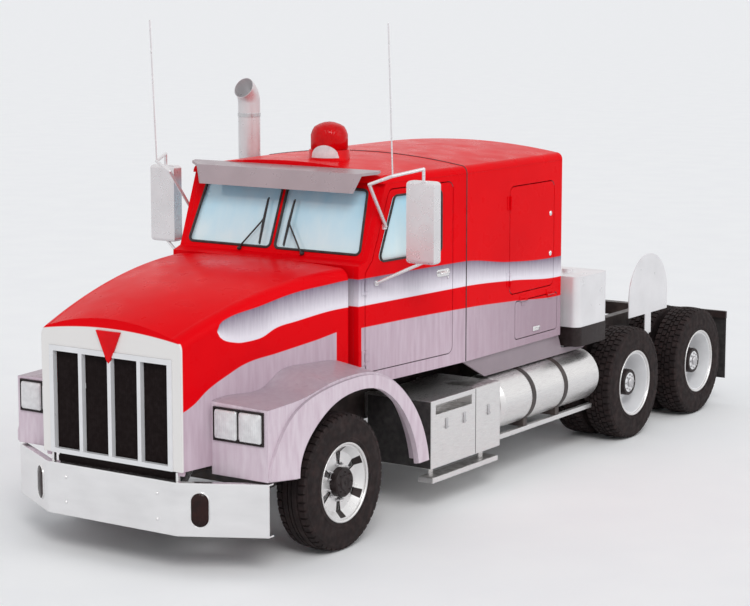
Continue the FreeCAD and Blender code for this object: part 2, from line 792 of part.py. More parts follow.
def cab_front():
    """Firewall, cowl and the raked windscreen frame, in one pressing."""
    floor_top = BODY_BOTTOM + FLOOR + SEAM
    seam_z = ROOF_SEAM - SEAM
    back = CAB_START + WALL
    ledge = SCREEN_BASE_Z - 20
    outline = [(CAB_START, floor_top), (CAB_START, COWL_TOP),
               (screen_d(SCREEN_BASE_Z), SCREEN_BASE_Z), (screen_d(seam_z), seam_z),
               (screen_d(seam_z) + SCREEN_FRAME, seam_z), (screen_d(ledge) + SCREEN_FRAME, ledge),
               (back, COWL_TOP - 60), (back, floor_top)]
    wide = side_prism(outline, -BODY_HALF, BODY_HALF)
    front_half = half_at(CAB_START) - WALL - SEAM
    rear = screen_d(ROOF_SEAM) + 2 * SCREEN_FRAME
    rear_half = half_at(rear) - WALL - SEAM
    width = plan_prism([(-front_half, CAB_START), (front_half, CAB_START), (rear_half, rear),
                        (-rear_half, rear)], BODY_BOTTOM, ROOF_SEAM)
    body = wide.common(width)
    for pane in pane_prisms(0, -80, 160):
        body = body.cut(pane)
    return body


def pane_prisms(inset, front, back):
    """The two windscreen openings, from front to back of the screen's outer plane."""
    low_z = SCREEN_BASE_Z + 40
    high_z = SCREEN_TOP_Z - 15
    post = CENTRE_POST / 2
    shapes = []
    for side in (1, -1):
        corners = [(post + inset, low_z + inset), (SCREEN_HALF_BASE - inset, low_z + inset),
                   (SCREEN_HALF_TOP - inset, high_z - inset), (post + inset, high_z - inset)]
        points = [vec(side * x, screen_d(z) + front, z) for x, z in corners]
        wire = rounded_wire(points, 40 - inset)
        shapes.append(Part.Face(wire).extrude(vec(0, back - front, 0)))
    return shapes


def windscreen():
    return pane_prisms(SEAM, 20, 20 + GLASS)


def cab_sides():
    """Sill, pillars and top rail in one panel each side, round the door."""
    band = side_band(CAB_START, SPLIT - SEAM, BODY_BOTTOM, ROOF_SEAM - SEAM)
    silhouette = side_prism([(CAB_START, BODY_BOTTOM), (CAB_START, COWL_TOP),
                             (screen_d(SCREEN_BASE_Z), SCREEN_BASE_Z),
                             (screen_d(ROOF_SEAM), ROOF_SEAM), (SPLIT, ROOF_SEAM),
                             (SPLIT, BODY_BOTTOM)], 0, BODY_HALF + 100)
    side = band.common(silhouette).cut(door_prism(PANEL_GAP))
    return pair(join(side, *door_hinges(0)))


def door():
    """The left door: one slab as thick as the wall, with its window cut."""
    band = side_band(CAB_START, SPLIT, BODY_BOTTOM, ROOF_SEAM)
    window = rounded_side_prism(window_outline(), WINDOW_CORNER, 0, BODY_HALF + 100)
    return join(band.common(door_prism()).cut(window), *door_hinges(1))


def door_glass():
    inner = plan_prism([(half_at(1900) - 30, 1900), (half_at(3200) - 30, 3200),
                        (half_at(3200) - 30 + 6, 3200), (half_at(1900) - 30 + 6, 1900)],
                       1900, ROOF_SEAM)
    pane = rounded_side_prism(window_outline(), WINDOW_CORNER, 0, BODY_HALF + 100)
    return inner.common(pane)


def roof_section(d, half, drop):
    """A closed section of the roof: upright edges, round shoulders and a crown."""
    edge = ROOF_EDGE - drop
    radius = ROOF_RADIUS - drop
    lean = radius * (1 - math.sqrt(0.5))
    base = ROOF_SEAM - (5 if drop else 0)
    points = [vec(-half, d, base), vec(-half, d, edge - radius), vec(-half + lean, d, edge - lean),
              vec(-half + radius, d, edge), vec(0, d, edge + ROOF_CROWN),
              vec(half - radius, d, edge), vec(half - lean, d, edge - lean),
              vec(half, d, edge - radius), vec(half, d, base)]
    edges = [Part.makeLine(points[0], points[1]),
             Part.Arc(points[1], points[2], points[3]).toShape(),
             Part.Arc(points[3], points[4], points[5]).toShape(),
             Part.Arc(points[5], points[6], points[7]).toShape(),
             Part.makeLine(points[7], points[8]),
             Part.makeLine(points[8], points[0])]
    return Part.Wire(edges)


def roof_form(d0, d1, inset):
    """The roof's outer form between two stations, or its inside when inset."""
    sections = [roof_section(d, half_at(min(d, SPLIT)) - inset, inset) for d in (d0, d1)]
    return Part.makeLoft(sections, True, True)


def roof_lid(d0, d1, front_wall, rear_wall):
    """A roof panel as a shallow lid, open below."""
    outer = roof_form(d0, d1, 0)
    inner = roof_form(d0 + front_wall, d1 - rear_wall, ROOF_WALL)
    return outer.cut(inner)


def cab_roof():
    return roof_lid(ROOF_START, SPLIT - SEAM, WALL, -10)


def sleeper_roof():
    return roof_lid(SPLIT, SLEEPER_END, -10, WALL)


def sleeper_sides():
    band = block(BODY_HALF - WALL, BODY_HALF, SPLIT, SLEEPER_END, BODY_BOTTOM, ROOF_SEAM - SEAM)
    side = band.cut(hatch_prism(PANEL_GAP)).cut(locker_prism(PANEL_GAP))
    return pair(join(side, *hatch_hinges(0), *locker_hinges(0)))


def hatch_prism(grow=0):
    outline = [(HATCH_FRONT, HATCH_BOTTOM), (HATCH_FRONT, HATCH_TOP), (HATCH_REAR, HATCH_TOP),
               (HATCH_REAR, HATCH_BOTTOM)]
    return rounded_side_prism(outline, CORNER, BODY_HALF - WALL, BODY_HALF, grow)


def locker_prism(grow=0):
    outline = [(LOCKER_FRONT, LOCKER_BOTTOM), (LOCKER_FRONT, LOCKER_TOP), (LOCKER_REAR, LOCKER_TOP),
               (LOCKER_REAR, LOCKER_BOTTOM)]
    return rounded_side_prism(outline, CORNER / 2, BODY_HALF - WALL, BODY_HALF, grow)


def hatch():
    return join(hatch_prism(), *hatch_hinges(1))


def locker():
    return join(locker_prism(), *locker_hinges(1))


def sleeper_rear():
    inner = BODY_HALF - WALL - SEAM
    return block(-inner, inner, SLEEPER_END - WALL, SLEEPER_END, BODY_BOTTOM + FLOOR + SEAM,
                 ROOF_SEAM - SEAM)


def sleeper_floor():
    """Floor pan and its mounts, and the bunk's bulkhead and board over the lockers."""
    inner = BODY_HALF - WALL - SEAM
    floor_top = BODY_BOTTOM + FLOOR
    pan = block(-inner, inner, SPLIT, SLEEPER_END, BODY_BOTTOM, floor_top)
    bulkhead = block(-inner + 8, inner - 8, BUNK_FRONT, BUNK_FRONT + 20, floor_top + SEAM,
                     BUNK_BOARD - 20 - SEAM)
    board = block(-inner + 8, inner - 8, BUNK_FRONT, SLEEPER_END - WALL - SEAM, BUNK_BOARD - 20,
                  BUNK_BOARD)
    return [pan, bulkhead, board] + floor_feet((SPLIT + 250, SLEEPER_END - 190))


def bunk():
    half = BODY_HALF - WALL - 20
    return block(-half, half, BUNK_FRONT + 10, SLEEPER_END - WALL - 10, BUNK_BOARD + SEAM,
                 BUNK_BOARD + MATTRESS)


def visor():
    """Sun visor over the windscreen, a bent plate on the roof's front edge."""
    front = ROOF_START - VISOR_REACH
    low = ROOF_SEAM - VISOR_DROP
    crest = ROOF_EDGE + 40
    outline = [(front, low), (front + 35, crest - 25), (ROOF_START, crest),
               (ROOF_START, crest - 20), (front + 55, crest - 43), (front + 18, low - 2)]
    plate = side_prism(outline, -VISOR_HALF, VISOR_HALF)
    inner = VISOR_HALF - 190
    rear = ROOF_START + 50
    plan = plan_prism([(-VISOR_HALF, ROOF_START - 40), (-inner, front - 5), (inner, front - 5),
                       (VISOR_HALF, ROOF_START - 40), (VISOR_HALF, rear), (-VISOR_HALF, rear)],
                      low - 90, crest + 135)
    return plate.common(plan)


def on_screen(x, z, out):
    """A point that stands out from the windscreen's outer plane."""
    return vec(x, screen_d(z) - out, z)


def wipers():
    """A bent arm from its boss under each pane to the upright blade by the centre post."""
    foot = on_screen(WIPER_X, WIPER_Z, 10)
    knee = on_screen(WIPER_X * 0.4, WIPER_Z + 0.6 * WIPER_RISE, 22)
    seat = vec(WIPER_X, screen_d(WIPER_Z - WIPER_BOSS) - SEAM, WIPER_Z)
    boss = bar(foot - vec(0, 8, 0), seat, WIPER_BOSS)
    blade = bar(on_screen(WIPER_X * 0.4, WIPER_Z + 40, 22),
                on_screen(WIPER_X * 0.4, WIPER_Z + WIPER_RISE, 22), 8)
    return pair(join(bar(foot, knee, 7), boss, blade))


def exhaust():
    """Stack beside the split, the thinner run from the frame, and the curved tip."""
    run_z = RAIL_TOP + RUN_RADIUS + SEAM
    low = vec(STACK_X, STACK_D, run_z + RUN_BEND)
    neck = low + vec(0, 0, RUN_BEND)
    high = vec(STACK_X, STACK_D, STACK_TOP - STACK_BEND)
    pipe = bar(neck, high, STACK_RADIUS)
    cone = Part.makeCone(RUN_RADIUS, STACK_RADIUS, RUN_BEND, low, vec(0, 0, 1))
    ring = Part.Face(Part.Wire(Part.makeCircle(RUN_RADIUS, low, vec(0, 0, 1))))
    elbow = ring.revolve(vec(STACK_X + RUN_BEND, STACK_D, low.z), vec(0, 1, 0), -90)
    start = vec(STACK_X + RUN_BEND, STACK_D, run_z)
    run = bar(start, vec(-RAIL_OUTER + 60, STACK_D, run_z), RUN_RADIUS)
    cap = Part.Face(Part.Wire(Part.makeCircle(STACK_RADIUS, high, vec(0, 0, 1))))
    tip = cap.revolve(vec(STACK_X, STACK_D - STACK_BEND, high.z), vec(1, 0, 0), 60)
    mouth = Part.Face(Part.Wire(Part.makeCircle(STACK_RADIUS - STACK_WALL, high, vec(0, 0, 1))))
    bore = mouth.revolve(vec(STACK_X, STACK_D - STACK_BEND, high.z), vec(1, 0, 0), 65)
    foot = block(-BODY_HALF - 12, -BODY_HALF - SEAM, SPLIT + 10, SPLIT + 90, STAY_Z - 50, STAY_Z + 50)
    arm = block(STACK_X, -BODY_HALF - 5, STACK_D + 20, SPLIT + 60, STAY_Z - 20, STAY_Z + 20)
    return join(pipe, cone, elbow, run, tip, foot, arm).cut(bore)


def seats():
    shapes = []
    base_z = BODY_BOTTOM + FLOOR + SEAM
    for side in (1, -1):
        x = side * 480
        stand = block(x - 180, x + 180, 2480, 2860, base_z, 1480)
        cushion = block(x - 250, x + 250, 2400, 2920, 1480, 1600)
        back = side_prism([(2820, 1600), (2930, 2280), (3030, 2280), (2950, 1500), (2820, 1500)],
                          x - 240, x + 240)
        shapes.append(join(stand, cushion, back))
    return shapes


def dashboard():
    back = CAB_START + WALL + SEAM
    inner = half_at(CAB_START) - WALL - 12
    panel = side_prism([(back, 1500), (back, 1985), (2060, 2030), (2260, 1960), (2300, 1780),
                        (2180, 1560)], -inner, inner)
    column = bar(vec(480, 2150, 1700), vec(480, 2403, 1847.6), 30)
    count = 24
    rim = []
    for radius in (220, 185):
        points = [vec(480 + radius * math.cos(2 * math.pi * i / count),
                      2390 + radius * math.sin(2 * math.pi * i / count), 1840)
                  for i in range(count)]
        rim.append(Part.Face(loop(points)).extrude(vec(0, 0, 30)))
    wheel = rim[0].cut(rim[1])
    spokes = block(480 - 195, 480 + 195, 2370, 2410, 1846, 1864)
    wheel = wheel.fuse(spokes)
    wheel.rotate(vec(480, 2390, 1840), vec(1, 0, 0), -60)
    return join(panel, column, wheel)


# Hood

def hood_section(d, half, edge, crown, bottom, inset):
    """A closed section of the hood: upright sides, round shoulders and a crown."""
    half = half - inset
    edge = edge - inset
    radius = HOOD_SHOULDER
    lean = radius * (1 - math.sqrt(0.5))
    points = [vec(-half, d, bottom), vec(-half, d, edge - radius),
              vec(-half + lean, d, edge - lean), vec(-half + radius, d, edge),
              vec(0, d, edge + crown), vec(half - radius, d, edge),
              vec(half - lean, d, edge - lean), vec(half, d, edge - radius),
              vec(half, d, bottom)]
    edges = [Part.makeLine(points[0], points[1]),
             Part.Arc(points[1], points[2], points[3]).toShape(),
             Part.Arc(points[3], points[4], points[5]).toShape(),
             Part.Arc(points[5], points[6], points[7]).toShape(),
             Part.makeLine(points[7], points[8]),
             Part.makeLine(points[8], points[0])]
    return Part.Wire(edges)


def hood_share(d):
    return (d - HOOD_START) / (HOOD_END - HOOD_START)


def hood_half(d):
    return NOSE_HALF + (HOOD_REAR_HALF - NOSE_HALF) * hood_share(d)


def hood_edge(d):
    """The shoulder's height: it climbs from the nose and flattens towards the cab."""
    share = hood_share(d)
    return NOSE_EDGE + (HOOD_REAR_EDGE - NOSE_EDGE) * (2 * share - share * share)


def hood_body(inset, start, end, bottom):
    """The hood's outer form, or its inside when inset, between two stations."""
    sections = []
    for i in range(5):
        d = start + (end - start) * i / 4
        crown = NOSE_CROWN + (HOOD_REAR_CROWN - NOSE_CROWN) * hood_share(d)
        sections.append(hood_section(d, hood_half(d), hood_edge(d), crown, bottom, inset))
    return Part.makeLoft(sections, True)


def hood():
    outer = hood_body(0, HOOD_START, HOOD_END, HOOD_BOTTOM)
    inner = hood_body(HOOD_WALL, HOOD_START + GRILLE_DEPTH, HOOD_END + 20, HOOD_BOTTOM - 20)
    shell = outer.cut(inner)
    below = block(-1300, 1300, HOOD_START + NOSE_LENGTH, HOOD_END + 50, 0, HOOD_SIDE_BOTTOM)
    half = GRILLE_HALF + GRILLE_RIM
    mouth = block(-half, half, HOOD_START - 50, HOOD_START + 200, HOOD_BOTTOM - 10,
                  GRILLE_TOP + GRILLE_RIM)
    return join(shell.cut(below).cut(mouth), hood_lug(), mirrored(hood_lug()))


def grille():
    """Surround with four tall openings between three bars."""
    d0 = HOOD_START - 10
    half = GRILLE_HALF + GRILLE_RIM - SEAM
    frame_part = block(-half, half, d0, d0 + GRILLE_DEPTH, HOOD_BOTTOM,
                       GRILLE_TOP + GRILLE_RIM - SEAM)
    pitch = (2 * GRILLE_HALF + GRILLE_BAR) / 4
    for i in range(4):
        x0 = -GRILLE_HALF + i * pitch
        frame_part = frame_part.cut(block(x0, x0 + pitch - GRILLE_BAR, d0 - 5, d0 + GRILLE_DEPTH + 5,
                                          GRILLE_BOTTOM, GRILLE_TOP))
    return frame_part


def grille_screen():
    """Dark upright louvres behind each opening, turned and held by rails above and below."""
    d0 = HOOD_START - 10 + GRILLE_DEPTH
    half = GRILLE_HALF + 30
    pieces = [block(-half, half, d0 + SEAM, d0 + LOUVRE_DEPTH, z, z + 20)
              for z in (GRILLE_BOTTOM - 25, GRILLE_TOP + 5)]
    pitch = (2 * GRILLE_HALF + GRILLE_BAR) / 4
    step = (pitch - GRILLE_BAR) / LOUVRES
    for column in range(4):
        x0 = -GRILLE_HALF + column * pitch
        for i in range(LOUVRES):
            x = x0 + (i + 0.5) * step
            blade = block(-LOUVRE_THICK / 2, LOUVRE_THICK / 2, -LOUVRE_DEPTH / 2, LOUVRE_DEPTH / 2,
                          GRILLE_BOTTOM - 10, GRILLE_TOP + 10)
            blade.rotate(vec(0, 0, 0), vec(0, 0, 1), LOUVRE_TURN)
            blade.translate(vec(x, d0 + LOUVRE_DEPTH / 2, 0))
            pieces.append(blade)
    return join(*pieces)


def spline_wire(start, curve, tail):
    """A closed side outline in the plane x: straight front, a smooth top, straight tail."""
    x = start.x
    top = Part.BSplineCurve()
    top.interpolate([vec(x, d, z) for d, z in curve])
    first = vec(x, *curve[0])
    last = vec(x, *curve[-1])
    end = vec(x, *tail)
    edges = [Part.makeLine(start, first), top.toShape(), Part.makeLine(last, end),
             Part.makeLine(end, start)]
    return Part.Wire(edges)


def fender_curves(inset):
    """The fender's top line at the hood and at its side, both set in by inset."""
    at_hood = [(FENDER_FRONT, 1245), (600, 1258), (880, 1275), (1000, 1385), (1330, 1412),
               (1661, 1395), (1980, 1190), (FENDER_END, FLAP_BOTTOM_Z)]
    at_side = [(FENDER_FRONT, 1222), (560, 1230), (790, 1248), (1060, 1296), (1330, 1315),
               (1661, 1290), (1980, 1145), (FENDER_END, FLAP_BOTTOM_Z)]
    return [[(d - inset * min(1, max(0, (d - 1330) / 500)), z - inset) for d, z in line]
            for line in (at_hood, at_side)]


def fender_form(inset, x_side):
    """The fender's body between the hood and its side, as a loft of two side outlines."""
    wires = []
    for x, line in zip((500, x_side), fender_curves(inset)):
        front = FENDER_FRONT + inset
        line = [(front, line[0][1])] + line[1:]
        start = vec(x, front, FENDER_BOTTOM - 2 * inset)
        tail = (FENDER_END - FLAP_LENGTH, FLAP_BOTTOM_Z - 2 * inset)
        wires.append(spline_wire(start, line, tail))
    return Part.makeLoft(wires, True, True)


def flare():
    """The broad lip round the wheel arch, proud of the fender's side."""
    line = [(FENDER_FRONT + 12, 790), (430, 990), (600, 1150), (830, 1240), (1060, 1278),
            (1330, 1297), (1661, 1271), (1968, 1130), (FENDER_END - 14, FLAP_BOTTOM_Z + 6)]
    start = vec(FENDER_SIDE - 60, FENDER_FRONT + 12, FENDER_BOTTOM + 8)
    wire = spline_wire(start, line, (FENDER_END - FLAP_LENGTH, FLAP_BOTTOM_Z + 6))
    return Part.Face(wire).extrude(vec(FENDER_OUTER - FENDER_SIDE + 60, 0, 0))


def arch():
    """The wheel opening as a cutter right across the fender."""
    line = [(665, 690), (700, 830), (860, 1010), (1120, 1150), (1420, 1195), (1680, 1160),
            (1900, 1040), (FENDER_END - FLAP_LENGTH + 4, FLAP_BOTTOM_Z - 60)]
    wire = spline_wire(vec(400, 665, 300), line, (FENDER_END - FLAP_LENGTH + 4, 300))
    return Part.Face(wire).extrude(vec(900, 0, 0))


def fender():
    """Left front fender: outer skin, top and front wall, open inside over the wheel."""
    outer = fender_form(0, FENDER_SIDE).fuse(flare())
    inside = fender_form(FENDER_WALL, FENDER_SIDE - FENDER_WALL)
    shell = outer.cut(inside).cut(arch())
    behind = block(300, FLAP_INNER, HOOD_END, 2600, 300, 1600)
    hood_form = hood_body(-SEAM, HOOD_START, HOOD_END + 5, HOOD_BOTTOM - 100)
    lamp_hole = block(LAMP_INNER, LAMP_OUTER, FENDER_FRONT - 50, FENDER_FRONT + 80,
                      LAMP_BOTTOM, LAMP_TOP)
    return shell.cut(behind).cut(hood_form).cut(lamp_hole)


def headlamps():
    gap = 12
    middle = (LAMP_INNER + LAMP_OUTER) / 2
    shapes = []
    case = block(LAMP_INNER + SEAM, LAMP_OUTER - SEAM, FENDER_FRONT - 12, FENDER_FRONT + 70,
                 LAMP_BOTTOM + SEAM, LAMP_TOP - SEAM)
    for x0, x1 in ((LAMP_INNER + gap, middle - gap / 2), (middle + gap / 2, LAMP_OUTER - gap)):
        case = case.cut(block(x0, x1, FENDER_FRONT - 20, FENDER_FRONT - 2,
                              LAMP_BOTTOM + gap, LAMP_TOP - gap))
    shapes += pair(case)
    return shapes


# Doors' mirrors

def arm_pad(d, z):
    """A foot on the door's slanted outer face."""
    d0 = d - PAD_HALF
    d1 = d + PAD_HALF
    return plan_prism([(half_at(d0), d0), (half_at(d1), d1), (half_at(d1) + 14, d1),
                       (half_at(d0) + 14, d0)], z - PAD_HALF, z + PAD_HALF)


def mirror():
    """Left mirror head on a looped upper arm and a straight lower one, with the whip antenna."""
    half = MIRROR_DEPTH / 2
    head = block(MIRROR_INNER, MIRROR_OUTER, MIRROR_D - half, MIRROR_D + half, MIRROR_BOTTOM,
                 MIRROR_TOP)
    head = head.makeFillet(30, [edge for edge in head.Edges if edge.Length < 300])
    middle = (MIRROR_INNER + MIRROR_OUTER) / 2
    whip_foot = vec(WHIP_X, WHIP_D, MIRROR_TOP + 50)
    path = [vec(half_at(BRACE_D) + ARM_RADIUS + 7, BRACE_D, BRACE_Z),
            vec(CAB_FRONT_HALF + 60, DOOR_FRONT - 35, ROOF_SEAM + 20), whip_foot,
            vec(middle, MIRROR_D, MIRROR_TOP + 90), vec(middle, MIRROR_D, MIRROR_TOP - 30)]
    pieces = [bar(a, b, ARM_RADIUS) for a, b in zip(path, path[1:])]
    pieces += [Part.makeSphere(ARM_RADIUS, corner) for corner in path[1:-1]]
    pieces.append(bar(vec(half_at(LOW_PAD_D) + 8, LOW_PAD_D, LOW_PAD_Z),
                      vec(middle, MIRROR_D, MIRROR_BOTTOM + 10), ARM_RADIUS))
    pieces.append(bar(whip_foot, vec(WHIP_X, WHIP_D - WHIP_LEAN, WHIP_TOP), WHIP_RADIUS))
    return join(head, arm_pad(BRACE_D, BRACE_Z), arm_pad(LOW_PAD_D, LOW_PAD_Z), *pieces)


# Wheels

def tyre(side, outer_face, station):
    shoulder = (TYRE_WIDTH - TREAD_WIDTH) / 2
    bead = BEAD_RADIUS + TYRE_SEAT_GAP
    profile = [(outer_face, bead), (outer_face - shoulder, TYRE_RADIUS),
               (outer_face - TYRE_WIDTH + shoulder, TYRE_RADIUS), (outer_face - TYRE_WIDTH, bead)]
    return turned(profile, side, station, TYRE_RADIUS)


def front_wheel(side):
    """Rim and disc in one, with the hub standing out of it."""
    face = TYRE_OUTER_FACE - 20
    inner = TYRE_OUTER_FACE - TYRE_WIDTH + 20
    disc = face - 50
    bore = SPINDLE_RADIUS + RUNNING_CLEARANCE
    profile = [(face, BEAD_RADIUS), (face, BEAD_RADIUS - RIM_WALL), (disc, BEAD_RADIUS - 60),
               (disc, HUB_RADIUS), (face + 10, HUB_RADIUS - 15), (face + 10, 0),
               (face - 60, 0), (face - 60, bore), (inner + 90, bore), (inner + 90, HUB_RADIUS),
               (disc - DISC, HUB_RADIUS), (disc - DISC, BEAD_RADIUS - 60),
               (inner, BEAD_RADIUS - RIM_WALL), (inner, BEAD_RADIUS)]
    wheel = turned(profile, side, FRONT_AXLE, TYRE_RADIUS)
    return wheel.cut(wheel_slots(side, disc))


def wheel_slots(side, disc):
    """Slots between the six broad spokes of a front wheel's disc."""
    slots = []
    x0, x1 = sorted((side * (disc - 2 * DISC), side * (disc + DISC)))
    low = TYRE_RADIUS + HUB_RADIUS + 16
    high = TYRE_RADIUS + BEAD_RADIUS - 66
    for i in range(SPOKES):
        outline = [(-12, low), (-26, high), (26, high), (12, low)]
        slot = side_prism([(FRONT_AXLE + d, z) for d, z in outline], x0, x1)
        slot.rotate(vec(0, FRONT_AXLE, TYRE_RADIUS), vec(1, 0, 0), 360 * i / SPOKES)
        slots.append(slot)
    return Part.makeCompound(slots)


def drive_wheel(side, station):
    """Two rims clamped on one hub, the outer one deeply dished."""
    face = TYRE_OUTER_FACE - 20
    inner = TYRE_OUTER_FACE - TWIN_PITCH - TYRE_WIDTH + 20
    disc = face - 190
    bore = SPINDLE_RADIUS + RUNNING_CLEARANCE
    profile = [(face, BEAD_RADIUS), (face, BEAD_RADIUS - RIM_WALL), (disc, BEAD_RADIUS - 45),
               (disc, HUB_RADIUS), (face - 40, HUB_RADIUS - 20), (face - 40, 0),
               (face - 59, 0), (face - 59, bore), (inner + 110, bore), (inner + 110, HUB_RADIUS),
               (disc - 2 * DISC, HUB_RADIUS), (disc - 2 * DISC, BEAD_RADIUS - 45),
               (inner, BEAD_RADIUS - RIM_WALL), (inner, BEAD_RADIUS)]
    wheel = turned(profile, side, station, TYRE_RADIUS)
    reach = HAND_HOLE_CIRCLE
    hole = bar(vec(side * (disc - 3 * DISC), station, TYRE_RADIUS + reach),
               vec(side * (disc + DISC), station, TYRE_RADIUS + reach), HAND_HOLE_RADIUS)
    for i in range(SPOKES):
        turn = hole.copy()
        turn.rotate(vec(0, station, TYRE_RADIUS), vec(1, 0, 0), 360 * (i + 0.5) / SPOKES)
        wheel = wheel.cut(turn)
    return wheel


def knuckle(side):
    """Yoke over the axle's eye, stub for the wheel, and the arm to the tie rod."""
    x = side * KINGPIN_X
    half_eye = AXLE_EYE_HEIGHT / 2 + 2
    half_yoke = half_eye + KNUCKLE_EAR - 2
    ears = []
    for low, high in ((-half_yoke, -half_eye), (half_eye, half_yoke)):
        ear = bar(vec(x, FRONT_AXLE, TYRE_RADIUS + low), vec(x, FRONT_AXLE, TYRE_RADIUS + high), 50)
        ears.append(ear)
        ears.append(block(min(x, x + side * 85), max(x, x + side * 85), FRONT_AXLE - 45,
                          FRONT_AXLE + 45, TYRE_RADIUS + low, TYRE_RADIUS + high))
    web0, web1 = sorted((x + side * 65, x + side * 90))
    web = block(web0, web1, FRONT_AXLE - 50, FRONT_AXLE + 50, TYRE_RADIUS - half_yoke,
                TYRE_RADIUS + half_yoke)
    stub = bar(vec(x + side * 80, FRONT_AXLE, TYRE_RADIUS),
               vec(side * (TYRE_OUTER_FACE - 81), FRONT_AXLE, TYRE_RADIUS), SPINDLE_RADIUS)
    arm_low = TYRE_RADIUS - half_yoke
    rod_d = FRONT_AXLE + STEERING_ARM
    arm = block(x - 25, x + 25, FRONT_AXLE + 20, rod_d, arm_low, arm_low + 24)
    arm_end = bar(vec(x, rod_d, arm_low), vec(x, rod_d, arm_low + 24), 30)
    body = join(web, stub, arm, arm_end, *ears)
    pin_hole = bar(vec(x, FRONT_AXLE, 0), vec(x, FRONT_AXLE, 2 * TYRE_RADIUS),
                   KINGPIN_RADIUS + RUNNING_CLEARANCE)
    rod_hole = bar(vec(x, rod_d, 0), vec(x, rod_d, arm_low + 30), TIE_ROD_PIN + RUNNING_CLEARANCE)
    return body.cut(pin_hole).cut(rod_hole)


def tie_rod():
    half_eye = AXLE_EYE_HEIGHT / 2 + 2
    arm_low = TYRE_RADIUS - half_eye - KNUCKLE_EAR + 2
    z = arm_low - 6 - TIE_ROD_RADIUS
    d = FRONT_AXLE + STEERING_ARM
    rod = bar(vec(-KINGPIN_X - 30, d, z), vec(KINGPIN_X + 30, d, z), TIE_ROD_RADIUS)
    pins = [bar(vec(side * KINGPIN_X, d, z), vec(side * KINGPIN_X, d, arm_low + 30), TIE_ROD_PIN)
            for side in (1, -1)]
    return join(rod, *pins)


# Rear end

def deck():
    """Walkway over the rails behind the sleeper."""
    start = SLEEPER_END + DECK_GAP
    return block(-RAIL_OUTER, RAIL_OUTER, start, start + DECK_LENGTH, RAIL_TOP,
                 RAIL_TOP + DECK_PLATE)


def coupling_base():
    """Cross plate on the rails with an ear each side for the plate's pivot."""
    plate = block(-RAIL_OUTER, RAIL_OUTER, COUPLING_D - 250, COUPLING_D + 250, RAIL_TOP,
                  RAIL_TOP + 20)
    ears = []
    for side in (1, -1):
        x0, x1 = sorted((side * 330, side * 390))
        outline = [(COUPLING_D - 150, RAIL_TOP + 20), (COUPLING_D - 50, COUPLING_PIVOT_Z + 35),
                   (COUPLING_D + 50, COUPLING_PIVOT_Z + 35), (COUPLING_D + 150, RAIL_TOP + 20)]
        ear = side_prism(outline, x0, x1)
        hole = bar(vec(x0 - 5, COUPLING_D, COUPLING_PIVOT_Z),
                   vec(x1 + 5, COUPLING_D, COUPLING_PIVOT_Z), 20 + RUNNING_CLEARANCE)
        ears.append(ear.cut(hole))
    return join(plate, *ears)


def coupling_plate():
    """The tilting plate with its throat for a trailer's kingpin."""
    top = COUPLING_TOP
    disc = bar(vec(0, COUPLING_D, top - 45), vec(0, COUPLING_D, top), COUPLING_HALF)
    throat = plan_prism([(-KINGPIN_BORE, COUPLING_D), (KINGPIN_BORE, COUPLING_D),
                         (KINGPIN_BORE, COUPLING_D + 120), (210, COUPLING_D + 520),
                         (-210, COUPLING_D + 520), (-KINGPIN_BORE, COUPLING_D + 120)],
                        top - 60, top + 10)
    bore = bar(vec(0, COUPLING_D, top - 60), vec(0, COUPLING_D, top + 10), KINGPIN_BORE)
    plate = disc.cut(throat).cut(bore)
    pieces = []
    for side in (1, -1):
        x0, x1 = sorted((side * 300, side * 322))
        lug = block(x0, x1, COUPLING_D - 60, COUPLING_D + 60, COUPLING_PIVOT_Z - 35, top - 45)
        pin = bar(vec(x0, COUPLING_D, COUPLING_PIVOT_Z),
                  vec(side * 395, COUPLING_D, COUPLING_PIVOT_Z), 20)
        pieces += [lug, pin]
    return join(plate, *pieces)


def rear_fenders():
    """Round-topped upright guards between the drive wheels, each on a pipe from the frame."""
    centre = TANDEM_CENTRE - GUARD_LEAD
    start = vec(GUARD_X, centre - GUARD_RADIUS, GUARD_SPRING_Z)
    crest = vec(GUARD_X, centre, GUARD_SPRING_Z + GUARD_RADIUS)
    end = vec(GUARD_X, centre + GUARD_RADIUS, GUARD_SPRING_Z)
    low = [vec(GUARD_X, centre + GUARD_RADIUS, GUARD_LOW_Z),
           vec(GUARD_X, centre + GUARD_POST, GUARD_LOW_Z),
           vec(GUARD_X, centre + GUARD_POST, GUARD_PIPE_Z),
           vec(GUARD_X, centre - GUARD_POST, GUARD_PIPE_Z),
           vec(GUARD_X, centre - GUARD_POST, GUARD_LOW_Z),
           vec(GUARD_X, centre - GUARD_RADIUS, GUARD_LOW_Z)]
    points = [end] + low + [start]
    edges = [Part.Arc(start, crest, end).toShape()]
    edges += [Part.makeLine(a, b) for a, b in zip(points, points[1:])]
    plate = Part.Face(Part.Wire(edges)).extrude(vec(FENDER_PLATE, 0, 0))
    pipe = bar(vec(RAIL_OUTER + SEAM, centre, GUARD_PIPE_Z),
               vec(GUARD_X + FENDER_PLATE, centre, GUARD_PIPE_Z), 22)
    return pair(join(plate, pipe))


def mud_flaps():
    x0 = TYRE_OUTER_FACE - TWIN_PITCH - TYRE_WIDTH
    face = RAIL_END + END_BAR
    return pair(block(x0, TYRE_OUTER_FACE - 10, face, face + FLAP_THICK, FLAP_BOTTOM, 930))


